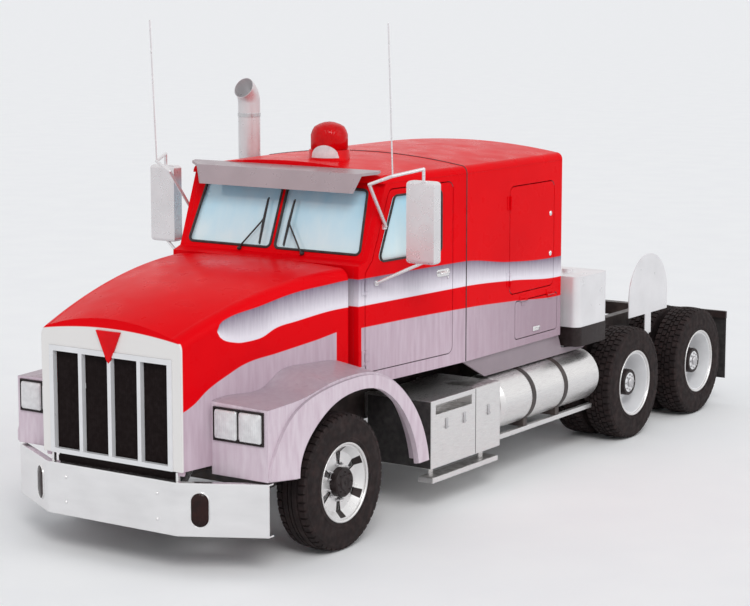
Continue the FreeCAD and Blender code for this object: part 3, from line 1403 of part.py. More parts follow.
def main():
    os.makedirs("parts", exist_ok=True)
    save("frame", frame())
    save("front_axle", front_axle())
    save("springs", *springs())
    save("driveline", *driveline())
    save("engine", engine())
    save("radiator", radiator())
    save("bumper", bumper())
    save("lamps", beacon(), *lamps())
    save("fuel_tanks", *tanks())
    save("oil_tanks", *oil_tanks())
    save("step_boxes", *step_boxes())
    save("side_skirts", *skirts())
    save("floors", *cab_floor(), *sleeper_floor())
    save("cab_front", cab_front())
    save("cab_sides", *cab_sides())
    save("roof_panels", cab_roof(), sleeper_roof())
    save("windscreen", *windscreen())
    save("sun_visor", visor())
    save("wipers", *wipers())
    save("exhaust_stack", exhaust())
    save("seats_and_bunk", bunk(), *seats())
    save("dashboard", dashboard())
    save("sleeper_sides", *sleeper_sides())
    save("sleeper_rear", sleeper_rear())
    save("coupling_base", coupling_base())
    save("coupling_plate", coupling_plate())
    save("rear_fenders", *rear_fenders())
    save("mud_flaps", *mud_flaps())
    save("hood", hood())
    save("front_fenders", *pair(fender()))
    save("grille", grille())
    save("grille_screen", grille_screen())
    save("headlamps", *headlamps())
    save("tie_rod", tie_rod())
    for name, side in (("left", 1), ("right", -1)):
        def hand(shape, side=side):
            return shape if side == 1 else mirrored(shape)
        save("door_" + name, hand(door()))
        save("door_glass_" + name, hand(door_glass()))
        save("mirror_" + name, hand(mirror()))
        save("hatch_" + name, hand(hatch()))
        save("locker_" + name, hand(locker()))
        save("knuckle_" + name, knuckle(side))
        save("front_tyre_" + name, tyre(side, TYRE_OUTER_FACE, FRONT_AXLE))
        save("front_wheel_" + name, front_wheel(side))
        for place, station in zip(("fore", "aft"), axle_stations()):
            save("drive_tyres_" + place + "_" + name,
                 tyre(side, TYRE_OUTER_FACE, station),
                 tyre(side, TYRE_OUTER_FACE - TWIN_PITCH, station))
            save("drive_wheel_" + place + "_" + name, drive_wheel(side, station))


main()
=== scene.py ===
import json
import math

import bmesh
import bpy
from mathutils import Matrix, Vector


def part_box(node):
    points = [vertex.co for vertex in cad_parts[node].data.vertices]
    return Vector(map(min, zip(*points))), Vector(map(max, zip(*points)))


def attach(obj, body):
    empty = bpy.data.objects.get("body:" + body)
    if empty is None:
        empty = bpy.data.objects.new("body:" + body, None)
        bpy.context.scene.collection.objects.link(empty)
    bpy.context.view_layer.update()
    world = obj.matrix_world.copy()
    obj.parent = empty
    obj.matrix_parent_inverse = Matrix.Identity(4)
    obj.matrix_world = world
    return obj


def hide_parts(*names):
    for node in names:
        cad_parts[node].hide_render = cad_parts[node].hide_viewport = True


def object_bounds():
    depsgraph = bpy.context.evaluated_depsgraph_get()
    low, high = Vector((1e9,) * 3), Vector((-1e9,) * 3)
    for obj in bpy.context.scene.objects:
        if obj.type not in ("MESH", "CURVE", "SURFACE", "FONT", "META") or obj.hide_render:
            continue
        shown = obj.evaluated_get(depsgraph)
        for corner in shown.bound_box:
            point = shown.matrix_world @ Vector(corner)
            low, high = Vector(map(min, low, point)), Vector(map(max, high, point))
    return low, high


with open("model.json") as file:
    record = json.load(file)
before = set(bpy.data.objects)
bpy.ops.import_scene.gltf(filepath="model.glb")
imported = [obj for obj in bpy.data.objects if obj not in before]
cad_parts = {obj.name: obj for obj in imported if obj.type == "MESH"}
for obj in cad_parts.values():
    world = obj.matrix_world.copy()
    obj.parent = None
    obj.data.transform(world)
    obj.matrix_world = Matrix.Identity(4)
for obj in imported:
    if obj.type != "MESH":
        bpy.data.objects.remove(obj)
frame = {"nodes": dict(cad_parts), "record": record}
cad_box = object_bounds()

# Lengths are metres. A station d is the distance behind the bumper's front face.
# Every piece has its points in the shared frame, so its Object coordinates are places on the truck.
FRONT = cad_box[0].y
SIDES = (("left", 1), ("right", -1))
UP = Vector((0, 0, 1))
BACK = Vector((0, 1, 0))
AHEAD = Vector((0, -1, 0))
CIRCLE = 2 * math.pi
POINT = 1e-4  # the radius of a form's pointed end

# Camera, fitted to the photograph
CAMERA_X = 9.936
CAMERA_D = -11.25
CAMERA_Z = 4.244
CAMERA_YAW = math.radians(34.1)
CAMERA_PITCH = math.radians(8.31)
CAMERA_LENS = 100.8
CAMERA_SENSOR = 36
CAMERA_SHIFT = -0.026


def at(x, d, z):
    return Vector((x, FRONT + d, z))


def station(y):
    return y - FRONT


def centre_of(node):
    """The middle of a wheel or tyre node, on the truck's middle plane."""
    low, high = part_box(node)
    return Vector((0, (low.y + high.y) / 2, (low.z + high.z) / 2))


# Colours, as linear values
RED = (0.80, 0.001, 0.005)
DEEP_RED = (0.66, 0.0, 0.004)
LAVENDER = (0.53, 0.40, 0.47)
PALE = (0.62, 0.50, 0.57)
# Painted shade: the darker lavender that the lower body fades to towards the rear
LAVENDER_REAR_SHADE = (0.36, 0.26, 0.31)
FENDER_LAVENDER = (0.61, 0.49, 0.56)
FENDER_PALE = (0.71, 0.61, 0.67)
# Painted shade for the fenders' tops
FENDER_SHADE = (0.22, 0.17, 0.20)
# Painted shade: a darker copy of the lavender for the side skirts
SKIRT_SHADED_LAVENDER = (0.29, 0.23, 0.26)
BAND_WHITE = (0.84, 0.80, 0.86)
VIOLET_GREY = (0.15, 0.10, 0.17)
WARM_WHITE = (0.80, 0.78, 0.76)
CHROME = (0.86, 0.85, 0.85)
ALUMINIUM = (0.78, 0.77, 0.76)
SILVER = (0.80, 0.80, 0.81)
BLACK = (0.018, 0.015, 0.016)
TYRE_BLACK = (0.013, 0.008, 0.008)
FRAME_BLACK = (0.022, 0.013, 0.012)
IRON = (0.085, 0.075, 0.075)
CABIN_GREY = (0.22, 0.21, 0.23)
SEAT_GREY = (0.16, 0.16, 0.19)


class Finish:
    """A material, built up one effect at a time round its Principled shader."""

    def __init__(self, name, colour, roughness, metallic=0.0):
        self.material = bpy.data.materials.new(name)
        self.material.use_nodes = True
        self.tree = self.material.node_tree
        self.shader = self.tree.nodes["Principled BSDF"]
        self.put("Base Color", (*colour, 1))
        self.put("Roughness", roughness)
        self.put("Metallic", metallic)
        self.colour = colour
        self.normal = None
        self.places = self.add("ShaderNodeTexCoord").outputs["Object"]

    def add(self, kind, **settings):
        node = self.tree.nodes.new(kind)
        for name, value in settings.items():
            setattr(node, name, value)
        return node

    def link(self, source, target):
        self.tree.links.new(source, target)

    def put(self, socket, value):
        """Sets one of the shader's own levels."""
        self.shader.inputs[socket].default_value = value
        return self

    def feed(self, socket, source):
        """Lets another node set one of the shader's levels."""
        self.link(source, self.shader.inputs[socket])
        return self

    def coat(self, weight, roughness):
        return self.put("Coat Weight", weight).put("Coat Roughness", roughness)

    def specular(self, level):
        return self.put("Specular IOR Level", level)

    def texture(self, kind, scale, stretch=None, **settings):
        """A texture of the places, which may be scaled by a factor along each axis."""
        node = self.add(kind, **settings)
        node.inputs["Scale"].default_value = scale
        places = self.places
        if stretch:
            mapping = self.add("ShaderNodeMapping")
            mapping.inputs["Scale"].default_value = stretch
            self.link(places, mapping.inputs["Vector"])
            places = mapping.outputs["Vector"]
        self.link(places, node.inputs["Vector"])
        return node

    def noise(self, scale, detail=3.0, stretch=None):
        node = self.texture("ShaderNodeTexNoise", scale, stretch)
        node.inputs["Detail"].default_value = detail
        return node.outputs["Fac"]

    def wave(self, scale, direction):
        return self.texture("ShaderNodeTexWave", scale, bands_direction=direction).outputs["Fac"]

    def spread(self, value, low, high, start=0.0, end=1.0):
        """Maps a value that runs from start to end onto low to high."""
        node = self.add("ShaderNodeMapRange")
        levels = {"From Min": start, "From Max": end, "To Min": low, "To Max": high}
        for socket, level in levels.items():
            node.inputs[socket].default_value = level
        self.link(value, node.inputs["Value"])
        return node.outputs["Result"]

    def maths(self, operation, first, second=0.0):
        node = self.add("ShaderNodeMath", operation=operation)
        for socket, value in zip(node.inputs, (first, second)):
            if isinstance(value, (int, float)):
                socket.default_value = value
            else:
                self.link(value, socket)
        return node.outputs[0]

    def plus(self, first, second):
        return self.maths("ADD", first, second)

    def minus(self, first, second):
        return self.maths("SUBTRACT", first, second)

    def times(self, first, second):
        return self.maths("MULTIPLY", first, second)

    def over(self, first, second):
        return self.maths("DIVIDE", first, second)

    def either(self, first, second):
        return self.maths("MAXIMUM", first, second)

    def unsigned(self, value):
        return self.maths("ABSOLUTE", value)

    def above(self, value, limit, soft=0.003):
        """1 where the value is over the limit, with a narrow soft edge."""
        return self.spread(self.minus(value, limit), 0, 1, -soft, soft)

    def between(self, value, low, high):
        return self.times(self.above(value, low), self.above(high, value))

    def mix(self, share, first, second):
        """Blends two colours, which are tuples or sockets, by a share."""
        node = self.add("ShaderNodeMix", data_type="RGBA")
        self.link(share, node.inputs[0])
        for socket, colour in ((node.inputs[6], first), (node.inputs[7], second)):
            if isinstance(colour, tuple):
                socket.default_value = (*colour, 1)
            else:
                self.link(colour, socket)
        return node.outputs[2]

    def base(self, colour):
        self.colour = colour
        return self.feed("Base Color", colour)

    def mottled(self, other, scale, low=0.35, high=0.65, detail=4.0, stretch=None):
        """Lets the colour drift towards another over the surface."""
        share = self.spread(self.noise(scale, detail, stretch), 0, 1, low, high)
        return self.base(self.mix(share, self.colour, other))

    def rough(self, low, high, scale, stretch=None):
        """Lets the roughness drift between two levels."""
        drift = self.spread(self.noise(scale, 4.0, stretch), low, high, 0.3, 0.7)
        return self.feed("Roughness", drift)

    def bump(self, height, scale, detail=3.0, stretch=None):
        return self.raised(self.noise(scale, detail, stretch), height)

    def raised(self, field, height):
        """Raises the surface where the field is 1, on top of what is raised already."""
        node = self.add("ShaderNodeBump")
        node.inputs["Strength"].default_value = 1.0
        node.inputs["Distance"].default_value = height
        self.link(field, node.inputs["Height"])
        if self.normal:
            self.link(self.normal, node.inputs["Normal"])
        self.normal = node.outputs["Normal"]
        return self.feed("Normal", self.normal)

    def edges(self, radius):
        """Rounds the look of sharp edges, before any bump is added."""
        node = self.add("ShaderNodeBevel", samples=4)
        node.inputs["Radius"].default_value = radius
        self.normal = node.outputs["Normal"]
        return self.feed("Normal", self.normal)

    def split(self, vector):
        node = self.add("ShaderNodeSeparateXYZ")
        self.link(vector, node.inputs["Vector"])
        return node.outputs

    def parts(self):
        """The x, station and height of each point."""
        x, y, z = self.split(self.places)
        return x, self.minus(y, FRONT), z

    def facing(self):
        """The x, y and z of the way that the surface faces."""
        return self.split(self.add("ShaderNodeNewGeometry").outputs["Normal"])

    def line(self, along, points):
        """A height that follows (station, height) points, as a curve of the station."""
        span_d = 8.0
        span_z = 4.0
        node = self.add("ShaderNodeFloatCurve")
        curve = node.mapping.curves[0]
        curve.points[0].location = (0, points[0][1] / span_z)
        curve.points[1].location = (1, points[-1][1] / span_z)
        for d, z in points:
            curve.points.new(d / span_d, z / span_z)
        for point in curve.points:
            point.handle_type = "AUTO_CLAMPED"
        node.mapping.update()
        self.link(self.over(along, span_d), node.inputs["Value"])
        return self.times(node.outputs["Value"], span_z)


# The paint's stripes, as (station, height) lines along the hood, cab and sleeper
BAND_TOP = [(0.38, 1.735), (0.40, 1.775), (0.45, 1.803), (0.84, 1.868), (1.19, 1.920),
            (1.57, 1.941), (1.80, 1.950), (3.25, 1.945), (3.95, 1.860), (4.84, 1.815)]
BAND_LOW = [(0.38, 1.735), (0.40, 1.695), (0.45, 1.660), (0.54, 1.634), (0.64, 1.620),
            (0.82, 1.628), (1.00, 1.685), (1.19, 1.704), (1.72, 1.740), (3.25, 1.739),
            (3.95, 1.700), (4.84, 1.635)]
BAND_START = 0.38
RED_LOW = [(0.0, 1.195), (0.11, 1.225), (0.284, 1.326), (0.479, 1.402), (0.677, 1.462),
           (1.0, 1.492), (1.40, 1.530), (1.80, 1.570), (3.25, 1.557), (3.95, 1.521),
           (4.84, 1.465)]
TAB_START = 1.655
TAB_END = 1.885
TAB_BOTTOM = 1.265
NOSE_FACE = 0.03
NOSE_RED = 1.685
NOSE_RED_CROWN = 0.055
NOSE_HALF = 0.66

# The body's half width, which tapers ahead of the joint of cab and sleeper
CAB_WALL = 0.05
BODY_HALF = 1.02
SPLIT = station(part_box("sleeper_sides")[0].y)
CAB_TAPER = 0.1 / 1.315
HOOD_END = 1.84


def half_at(d):
    return BODY_HALF - max(0.0, SPLIT - d) * CAB_TAPER


def lower_tones(paint, d):
    """Pale lavender in upright streaks, with painted shade that darkens it towards the rear."""
    streak = paint.spread(paint.noise(26.0, 3.0, (1, 1, 0.12)), 0, 1, 0.3, 0.7)
    # Painted shade, growing towards the rear
    rear = paint.spread(d, 0, 0.8, 3.0, 4.4)
    return paint.mix(rear, paint.mix(streak, LAVENDER, PALE), LAVENDER_REAR_SHADE)


def band_tones(paint, z, low, top):
    """White at the band's foot and dark at its top, in upright streaks."""
    depth = paint.over(paint.minus(z, low), paint.minus(top, low))
    streak = paint.spread(paint.noise(60.0, 2.0, (1, 1, 0.1)), -0.05, 0.05, 0.3, 0.7)
    shade = paint.spread(paint.plus(depth, streak), 0, 1, 0.15, 1.12)
    return paint.mix(shade, BAND_WHITE, VIOLET_GREY)


def nose_area(paint, x, d, z):
    """The nose's front face, under a line that is arched up in the middle."""
    share = paint.over(x, NOSE_HALF)
    drop = paint.times(paint.times(share, share), NOSE_RED_CROWN)
    nose_line = paint.minus(NOSE_RED + NOSE_RED_CROWN, drop)
    return paint.times(paint.above(NOSE_FACE, d), paint.above(nose_line, z))


def cabin_area(paint, x, d):
    """Ceilings, front walls and side walls that face into the cab or the sleeper."""
    face_x, face_y, face_z = paint.facing()
    slope = paint.times(paint.either(paint.minus(SPLIT, d), 0.0), CAB_TAPER)
    mid_wall = paint.minus(BODY_HALF - CAB_WALL / 2, slope)
    ceiling = paint.above(-0.3, face_z, 0.05)
    front = paint.times(paint.above(face_y, 0.5, 0.05), paint.above(SPLIT, d))
    sideways = paint.above(paint.unsigned(face_x), 0.7, 0.05)
    side = paint.times(sideways, paint.above(mid_wall, paint.unsigned(x)))
    walls = paint.either(paint.either(ceiling, front), side)
    return paint.times(paint.above(d, HOOD_END), walls)


def body_paint():
    """Red over pale lavender with a band between, a pale nose and a grey cabin."""
    paint = Finish("body_paint", RED, 0.32).coat(0.02, 0.08).specular(0.03).edges(0.006)
    x, d, z = paint.parts()
    top = paint.line(d, BAND_TOP)
    low = paint.line(d, BAND_LOW)
    red = paint.mix(paint.spread(paint.noise(1.3), 0, 0.5, 0.4, 0.7), RED, DEEP_RED)
    in_band = paint.times(paint.between(z, low, top), paint.above(d, BAND_START))
    colour = paint.mix(in_band, red, band_tones(paint, z, low, top))
    tab = paint.times(paint.between(d, TAB_START, TAB_END), paint.above(z, TAB_BOTTOM))
    below = paint.times(paint.above(paint.line(d, RED_LOW), z), paint.minus(1.0, tab))
    colour = paint.mix(below, colour, lower_tones(paint, d))
    colour = paint.mix(nose_area(paint, x, d, z), colour, WARM_WHITE)
    paint.base(paint.mix(cabin_area(paint, x, d), colour, CABIN_GREY))
    return paint.rough(0.24, 0.38, 5.0).bump(0.00006, 50.0, 1.0).material


def fender_paint():
    """Pale lavender, with painted shade that darkens the fenders' tops."""
    paint = Finish("fender_paint", FENDER_LAVENDER, 0.34).coat(0.06, 0.08).specular(0.12)
    paint.edges(0.008).mottled(FENDER_PALE, 26.0, 0.3, 0.7, 3.0, (1, 1, 0.2))
    # Painted shade on the faces that look up
    top_shade = paint.spread(paint.facing()[2], 0, 0.55, 0.35, 0.95)
    paint.base(paint.mix(top_shade, paint.colour, FENDER_SHADE))
    return paint.rough(0.26, 0.40, 6.0).bump(0.00006, 50.0, 1.0).material


def chrome():
    metal = Finish("chrome", CHROME, 0.16, 0.95).edges(0.008)
    metal.mottled((0.78, 0.77, 0.77), 3.0, 0.35, 0.75, stretch=(1, 1, 3))
    return metal.rough(0.14, 0.24, 7.0).bump(0.0002, 12.0, 2.0).material


def polished():
    """Rolled aluminium, with its lines along the truck."""
    metal = Finish("polished", ALUMINIUM, 0.3, 0.9).edges(0.008)
    metal.mottled((0.69, 0.67, 0.67), 30.0, 0.35, 0.75, stretch=(6, 0.3, 6))
    return metal.rough(0.24, 0.38, 60.0, (8, 0.2, 8)).bump(0.0002, 90.0, 2.0, (8, 0.15, 8)).material


def bright(name, colour, roughness, metallic):
    """Smooth pale metal that keeps its tone where the surroundings are dark."""
    metal = Finish(name, colour, roughness, metallic)
    metal.mottled(tuple(c * 0.9 for c in colour), 4.0, 0.35, 0.75)
    return metal.rough(roughness - 0.05, roughness + 0.08, 9.0).bump(0.00005, 3.0, 1.0).material


# The front wheel's spokes, and the painted shade in dark wedges between them, in radii and half
# widths
SPOKES = 6
SPOKE_PITCH = CIRCLE / SPOKES
SLOT_SHADE_RADII = (0.126, 0.270)
SLOT_SHADE_HALVES = (0.016, 0.036)
SLOT_SHADE_START = 0.118
SLOT_SHADE_END = 0.2705
WHEEL_FACE = 1.13


def spoked():
    """Polished disc wheel whose slots lie in dark wedges of painted shade that reach the rim."""
    metal = Finish("spoked", ALUMINIUM, 0.3, 0.5).edges(0.004)
    metal.mottled((0.70, 0.69, 0.69), 9.0, 0.35, 0.75)
    hub = centre_of("front_wheel_left")
    x, d, z = metal.parts()
    along = metal.minus(d, station(hub.y))
    rise = metal.minus(z, hub.z)
    squares = metal.plus(metal.times(along, along), metal.times(rise, rise))
    radius = metal.maths("POWER", squares, 0.5)
    turn = metal.over(metal.maths("ARCTAN2", along, rise), SPOKE_PITCH)
    off = metal.maths("PINGPONG", turn, 0.5)
    arc = metal.times(metal.times(off, SPOKE_PITCH), radius)
    half = metal.spread(radius, *SLOT_SHADE_HALVES, *SLOT_SHADE_RADII)
    wedge = metal.times(metal.above(half, arc, 0.0015), metal.above(SLOT_SHADE_END, radius, 0.001))
    wedge = metal.times(wedge, metal.above(radius, SLOT_SHADE_START))
    wedge = metal.times(wedge, metal.above(metal.unsigned(x), WHEEL_FACE, 0.002))
    # Painted shade in the wedges round the slots
    metal.base(metal.mix(wedge, metal.colour, (0.016, 0.009, 0.009)))
    return metal.rough(0.24, 0.38, 9.0).bump(0.0001, 40.0, 2.0).material


def satin_steel():
    metal = Finish("satin_steel", (0.55, 0.54, 0.55), 0.3, 1.0).edges(0.002)
    return metal.rough(0.2, 0.45, 40.0).bump(0.0001, 300.0).material


def chassis_paint():
    paint = Finish("chassis_paint", FRAME_BLACK, 0.5).coat(0.15, 0.3).edges(0.004)
    paint.mottled((0.075, 0.055, 0.048), 6.0, 0.45, 0.8)
    return paint.rough(0.38, 0.7, 9.0).bump(0.0006, 120.0).material


def cast():
    iron = Finish("cast", IRON, 0.65, 0.35).edges(0.006)
    iron.mottled((0.13, 0.10, 0.085), 12.0, 0.45, 0.75)
    return iron.rough(0.5, 0.8, 14.0).bump(0.0012, 70.0, 5.0).material


def tyre_rubber():
    rubber = Finish("tyre_rubber", TYRE_BLACK, 0.8).specular(0.25)
    rubber.mottled((0.030, 0.018, 0.017), 14.0, 0.42, 0.75)
    return rubber.rough(0.68, 0.92, 20.0).bump(0.0006, 160.0, 4.0).material


def rubber():
    soft = Finish("rubber", BLACK, 0.7).mottled((0.04, 0.036, 0.035), 18.0)
    return soft.rough(0.55, 0.85, 25.0).bump(0.0004, 200.0).material


def glass_tint_and_reflection():
    """Blue tinted glass with a painted reflection: deep blue at the top of a pane and near white at
    its foot.
    """
    glass = Finish("glass_tint_and_reflection", (0.5, 0.75, 0.9), 0.05).coat(1.0, 0.02).put("Alpha", 0.92)
    height = glass.spread(glass.parts()[2], 0, 1, 2.06, 2.60)
    streak = glass.spread(glass.noise(7.0, 3.0, (1, 1, 0.4)), -0.15, 0.15, 0.3, 0.7)
    share = glass.spread(glass.plus(height, streak), 0, 1)
    # The fade to near white at the foot is painted reflection
    glass.base(glass.mix(share, (0.82, 0.98, 1.0), (0.42, 0.79, 0.97)))
    return glass.rough(0.03, 0.08, 5.0).bump(0.0002, 6.0, 1.0).material


def lens_glass(name, colour, other, ribs, gloss):
    """A lamp lens with fine moulded flutes across it."""
    lens = Finish(name, colour, 0.12).coat(gloss, 0.03).specular(0.5 * gloss)
    lens.mottled(other, 16.0, 0.3, 0.8).raised(lens.wave(ribs, "X"), 0.0012)
    return lens.rough(0.08, 0.16, 12.0).material


def plastic(name, colour, roughness, gloss=0.5):
    moulded = Finish(name, colour, roughness).specular(gloss).edges(0.003)
    moulded.mottled(tuple(min(1.0, c * 1.5 + 0.01) for c in colour), 30.0, 0.4, 0.9)
    return moulded.rough(roughness - 0.08, roughness + 0.12, 30.0).bump(0.0003, 500.0).material


def woven():
    """Grey seat cloth with a crossed weave."""
    cloth = Finish("woven", SEAT_GREY, 0.85).put("Sheen Weight", 0.4)
    cloth.mottled((0.25, 0.24, 0.28), 60.0)
    weave = cloth.times(cloth.wave(90.0, "X"), cloth.wave(90.0, "Y"))
    return cloth.raised(weave, 0.0012).rough(0.75, 0.95, 15.0).material


def tread_plate():
    """Bright plate with raised studs for the steps."""
    plate = Finish("tread_plate", ALUMINIUM, 0.35, 1.0).edges(0.003)
    plate.mottled((0.45, 0.43, 0.42), 20.0)
    studs = plate.texture("ShaderNodeTexVoronoi", 45.0).outputs["Distance"]
    return plate.raised(plate.spread(studs, 1, 0, 0.2, 0.45), 0.002).material


def grease():
    """Worn steel with dark grease where a trailer rests."""
    steel = Finish("greased_steel", (0.10, 0.09, 0.09), 0.35, 0.8).edges(0.006)
    steel.mottled((0.02, 0.017, 0.015), 4.0, 0.4, 0.6)
    return steel.rough(0.2, 0.6, 8.0).bump(0.0008, 60.0).material


def red_trim():
    paint = Finish("red_trim", RED, 0.3).coat(0.08, 0.05).specular(0.1).edges(0.004)
    return paint.mottled(DEEP_RED, 6.0).bump(0.0001, 300.0).material


def mirror_silver():
    return Finish("mirror_glass", (0.75, 0.80, 0.84), 0.02, 1.0).bump(0.0001, 3.0, 1.0).material


LOOKS = {
    "body_red": body_paint(),
    "fender_paint": fender_paint(),
    "chrome": chrome(),
    "polished": polished(),
    "chassis_paint": chassis_paint(),
    "cast": cast(),
    "tyre": tyre_rubber(),
    "rubber": rubber(),
    "glass": glass_tint_and_reflection(),
    "black_plastic": plastic("black_plastic", BLACK, 0.5),
    "grey_plastic": plastic("grey_plastic", CABIN_GREY, 0.55),
    "upholstery": woven(),
    "mirror_shell": bright("mirror_shell", (0.76, 0.74, 0.75), 0.26, 0.6),
    "lamp": lens_glass("red_lens", (0.54, 0.0, 0.002), (0.68, 0.001, 0.004), 25.0, 0.15),
}
STEEL = satin_steel()
TREAD = tread_plate()
RED_TRIM = red_trim()
MIRROR_GLASS = mirror_silver()
CLEAR_LENS = lens_glass("clear_lens", (0.80, 0.80, 0.80), (0.56, 0.55, 0.56), 18.0, 1.0)
DARK_LENS = lens_glass("dark_lens", (0.028, 0.008, 0.007), (0.012, 0.005, 0.005), 20.0, 0.2)
DARK_PAINT = plastic("dark_paint", (0.014, 0.008, 0.008), 0.45, 0.25)
GRILLE_BLACK = plastic("grille_black", (0.007, 0.003, 0.003), 0.6, 0.12)
PALE_STEEL = bright("pale_steel", (0.80, 0.79, 0.80), 0.32, 0.3)
WHEEL_SILVER = bright("wheel_silver", (0.86, 0.86, 0.87), 0.36, 0.2)

# Nodes with a look of their own; a name here stands for both hands
NODE_LOOKS = {
    "coupling_plate": grease(),
    "headlamps": DARK_PAINT,
    "grille": bright("grille_silver", SILVER, 0.32, 0.1),
    "grille_screen": GRILLE_BLACK,
    # The visor's steel is darkened with painted shade
    "sun_visor": bright("visor_shaded_steel", (0.42, 0.35, 0.37), 0.30, 0.3),
    "exhaust_stack": bright("stack_steel", (0.70, 0.68, 0.69), 0.3, 0.35),
    "oil_tanks": PALE_STEEL,
    "rear_fenders": PALE_STEEL,
    # The skirts get a darker lavender that is painted shade
    "side_skirts": bright("skirt_painted_shade", SKIRT_SHADED_LAVENDER, 0.36, 0.0),
    "front_wheel": spoked(),
    "drive_wheel_fore": WHEEL_SILVER,
    "drive_wheel_aft": WHEEL_SILVER,
}


def dress_nodes():
    """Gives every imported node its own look, or else the look of its slot."""
    for row in frame["record"]["subparts"]:
        name = row["node"].removesuffix("_left").removesuffix("_right")
        materials = frame["nodes"][row["node"]].data.materials
        materials.clear()
        materials.append(NODE_LOOKS.get(name, LOOKS[row["material_slot"]]))


# Making shapes

EDGE = 0.002  # the height over which a bolt head or a rim slopes in


def placed(name, data):
    """A new object in the scene."""
    made = bpy.data.objects.new(name, data)
    bpy.context.scene.collection.objects.link(made)
    return made


def circle(centre, across, other, radius, sides):
    """Points round a circle that two directions span."""
    turns = [CIRCLE * i / sides for i in range(sides)]
    return [centre + (across * math.cos(turn) + other * math.sin(turn)) * radius for turn in turns]


def turned(profile, centre, axis, sides):
    """The rings of (distance along the axis, radius) points, turned about an axis."""
    axis = axis.normalized()
    across = axis.orthogonal().normalized()
    other = axis.cross(across)
    return [circle(centre + axis * along, across, other, max(radius, POINT), sides)
            for along, radius in profile]


class Shape:
    """A mesh that is put together from simple closed forms, in the shared frame."""

    def __init__(self):
        self.mesh = bmesh.new()

    def box(self, corner, opposite, bevel=0.0):
        place = Matrix.Translation((corner + opposite) / 2)
        size = Matrix.Diagonal((*map(abs, opposite - corner), 1))
        made = bmesh.ops.create_cube(self.mesh, size=1.0, matrix=place @ size)
        if bevel:
            edges = list({edge for vertex in made["verts"] for edge in vertex.link_edges})
            bmesh.ops.bevel(self.mesh, geom=edges, offset=bevel, segments=3, affect="EDGES",
                            profile=0.5)
        return self

    def strip(self, first, second):
        """Faces between two rings of equally many points."""
        count = len(first)
        for i in range(count):
            self.mesh.faces.new((first[i], first[(i + 1) % count],
                                 second[(i + 1) % count], second[i]))

    def rings(self, rings, closed=False):
        """Joins rings in order into one skin, whose ends are capped or joined to each other."""
        made = [[self.mesh.verts.new(point) for point in ring] for ring in rings]
        for first, second in zip(made, made[1:]):
            self.strip(first, second)
        if closed:
            start = made[0]
            nearest = min(start, key=lambda vertex: (made[-1][0].co - vertex.co).length)
            offset = start.index(nearest)
            self.strip(made[-1], start[offset:] + start[:offset])
        else:
            self.mesh.faces.new(list(reversed(made[0])))
            self.mesh.faces.new(made[-1])
        return self

    def lathe(self, profile, centre, axis, sides=32):
        """Turns (distance along the axis, radius) points into a solid about an axis."""
        return self.rings(turned(profile, centre, axis, sides))

    def hoop(self, profile, centre, axis, sides=48):
        """Turns a closed profile that stays clear of the axis into a ring."""
        return self.rings(turned(profile, centre, axis, sides), closed=True)

    def button(self, centre, axis, radius, height, crown, sides):
        """A short round head whose edge slopes in to the crown over its last part."""
        return self.lathe([(0, radius), (height - EDGE, radius), (height, crown), (height, 0)],
                          centre, axis, sides)

    def bezel(self, centre, axis, outer, crown, inner, height, sides):
        """A round rim that is highest at its crown."""
        return self.hoop([(0, outer), (height - EDGE, outer), (height, crown),
                          (height - EDGE, inner), (0, inner)], centre, axis, sides)

    def rod(self, start, end, radius, sides=16):
        span = end - start
        return self.lathe([(0, radius), (span.length, radius)], start, span, sides)

    def tube(self, path, radius, sides=10, closed=False):
        """A round tube along a path of points."""
        count = len(path)
        rings = []
        side = None
        for i, point in enumerate(path):
            before = path[i - 1] if closed or i else path[0]
            after = path[(i + 1) % count] if closed or i < count - 1 else path[-1]
            along = (after - before).normalized()
            if side is None:
                side = along.orthogonal().normalized()
            side = (side - along * side.dot(along)).normalized()
            rings.append(circle(point, side, along.cross(side), radius, sides))
        return self.rings(rings, closed)

    def layers(self, outline, centre, along, steps):
        """An outline at each (share of its size, distance along a vector), joined in order."""
        return self.rings([[centre + (point - centre) * share + along * distance
                            for point in outline] for share, distance in steps])

    def prism(self, outline, depth):
        """A flat outline of points pulled along a vector."""
        return self.rings([outline, [point + depth for point in outline]])

    def nut(self, centre, axis, radius, height):
        """A hexagon nut with a rounded stud end."""
        self.lathe([(0, radius * 1.25), (height * 0.2, radius * 1.25), (height * 0.2, radius),
                    (height * 0.9, radius), (height, radius * 0.85)], centre, axis, 6)
        return self.lathe([(height * 0.9, radius * 0.45), (height * 1.35, radius * 0.45),
                           (height * 1.45, radius * 0.3)], centre, axis, 10)

    def nuts(self, centre, axis, circle_radius, turns, radius, height):
        """Nuts round an axle, one at each turn in degrees."""
        for turn in turns:
            self.nut(around(centre, circle_radius, math.radians(turn)), axis, radius, height)
        return self

    def data(self, name):
        """The shape as mesh data, which uses it up."""
        data = bpy.data.meshes.new(name)
        self.mesh.to_mesh(data)
        self.mesh.free()
        return data

    def piece(self, name, slot, body="chassis", look=None, sharp=40):
        """Ends the shape as a named piece that rides on a body, with its slot's look or its own."""
        bmesh.ops.recalc_face_normals(self.mesh, faces=self.mesh.faces)
        limit = math.radians(sharp)
        for face in self.mesh.faces:
            face.smooth = True
        for edge in self.mesh.edges:
            if len(edge.link_faces) == 2:
                edge.smooth = edge.calc_face_angle(0.0) < limit
        made = placed(name, self.data(name))
        made.data.materials.append(look or LOOKS[slot])
        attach(made, body)
        return made


def around(centre, radius, turn):
    """A point round an axle."""
    return centre + Vector((0, radius * math.cos(turn), radius * math.sin(turn)))


def level(centre, radius, turn, rise):
    """A point round an upright axis."""
    return centre + Vector((radius * math.cos(turn), radius * math.sin(turn), rise))


def oblong(u0, u1, v0, v1):
    """The corners of an oblong, in order."""
    return (u0, v0), (u1, v0), (u1, v1), (u0, v1)


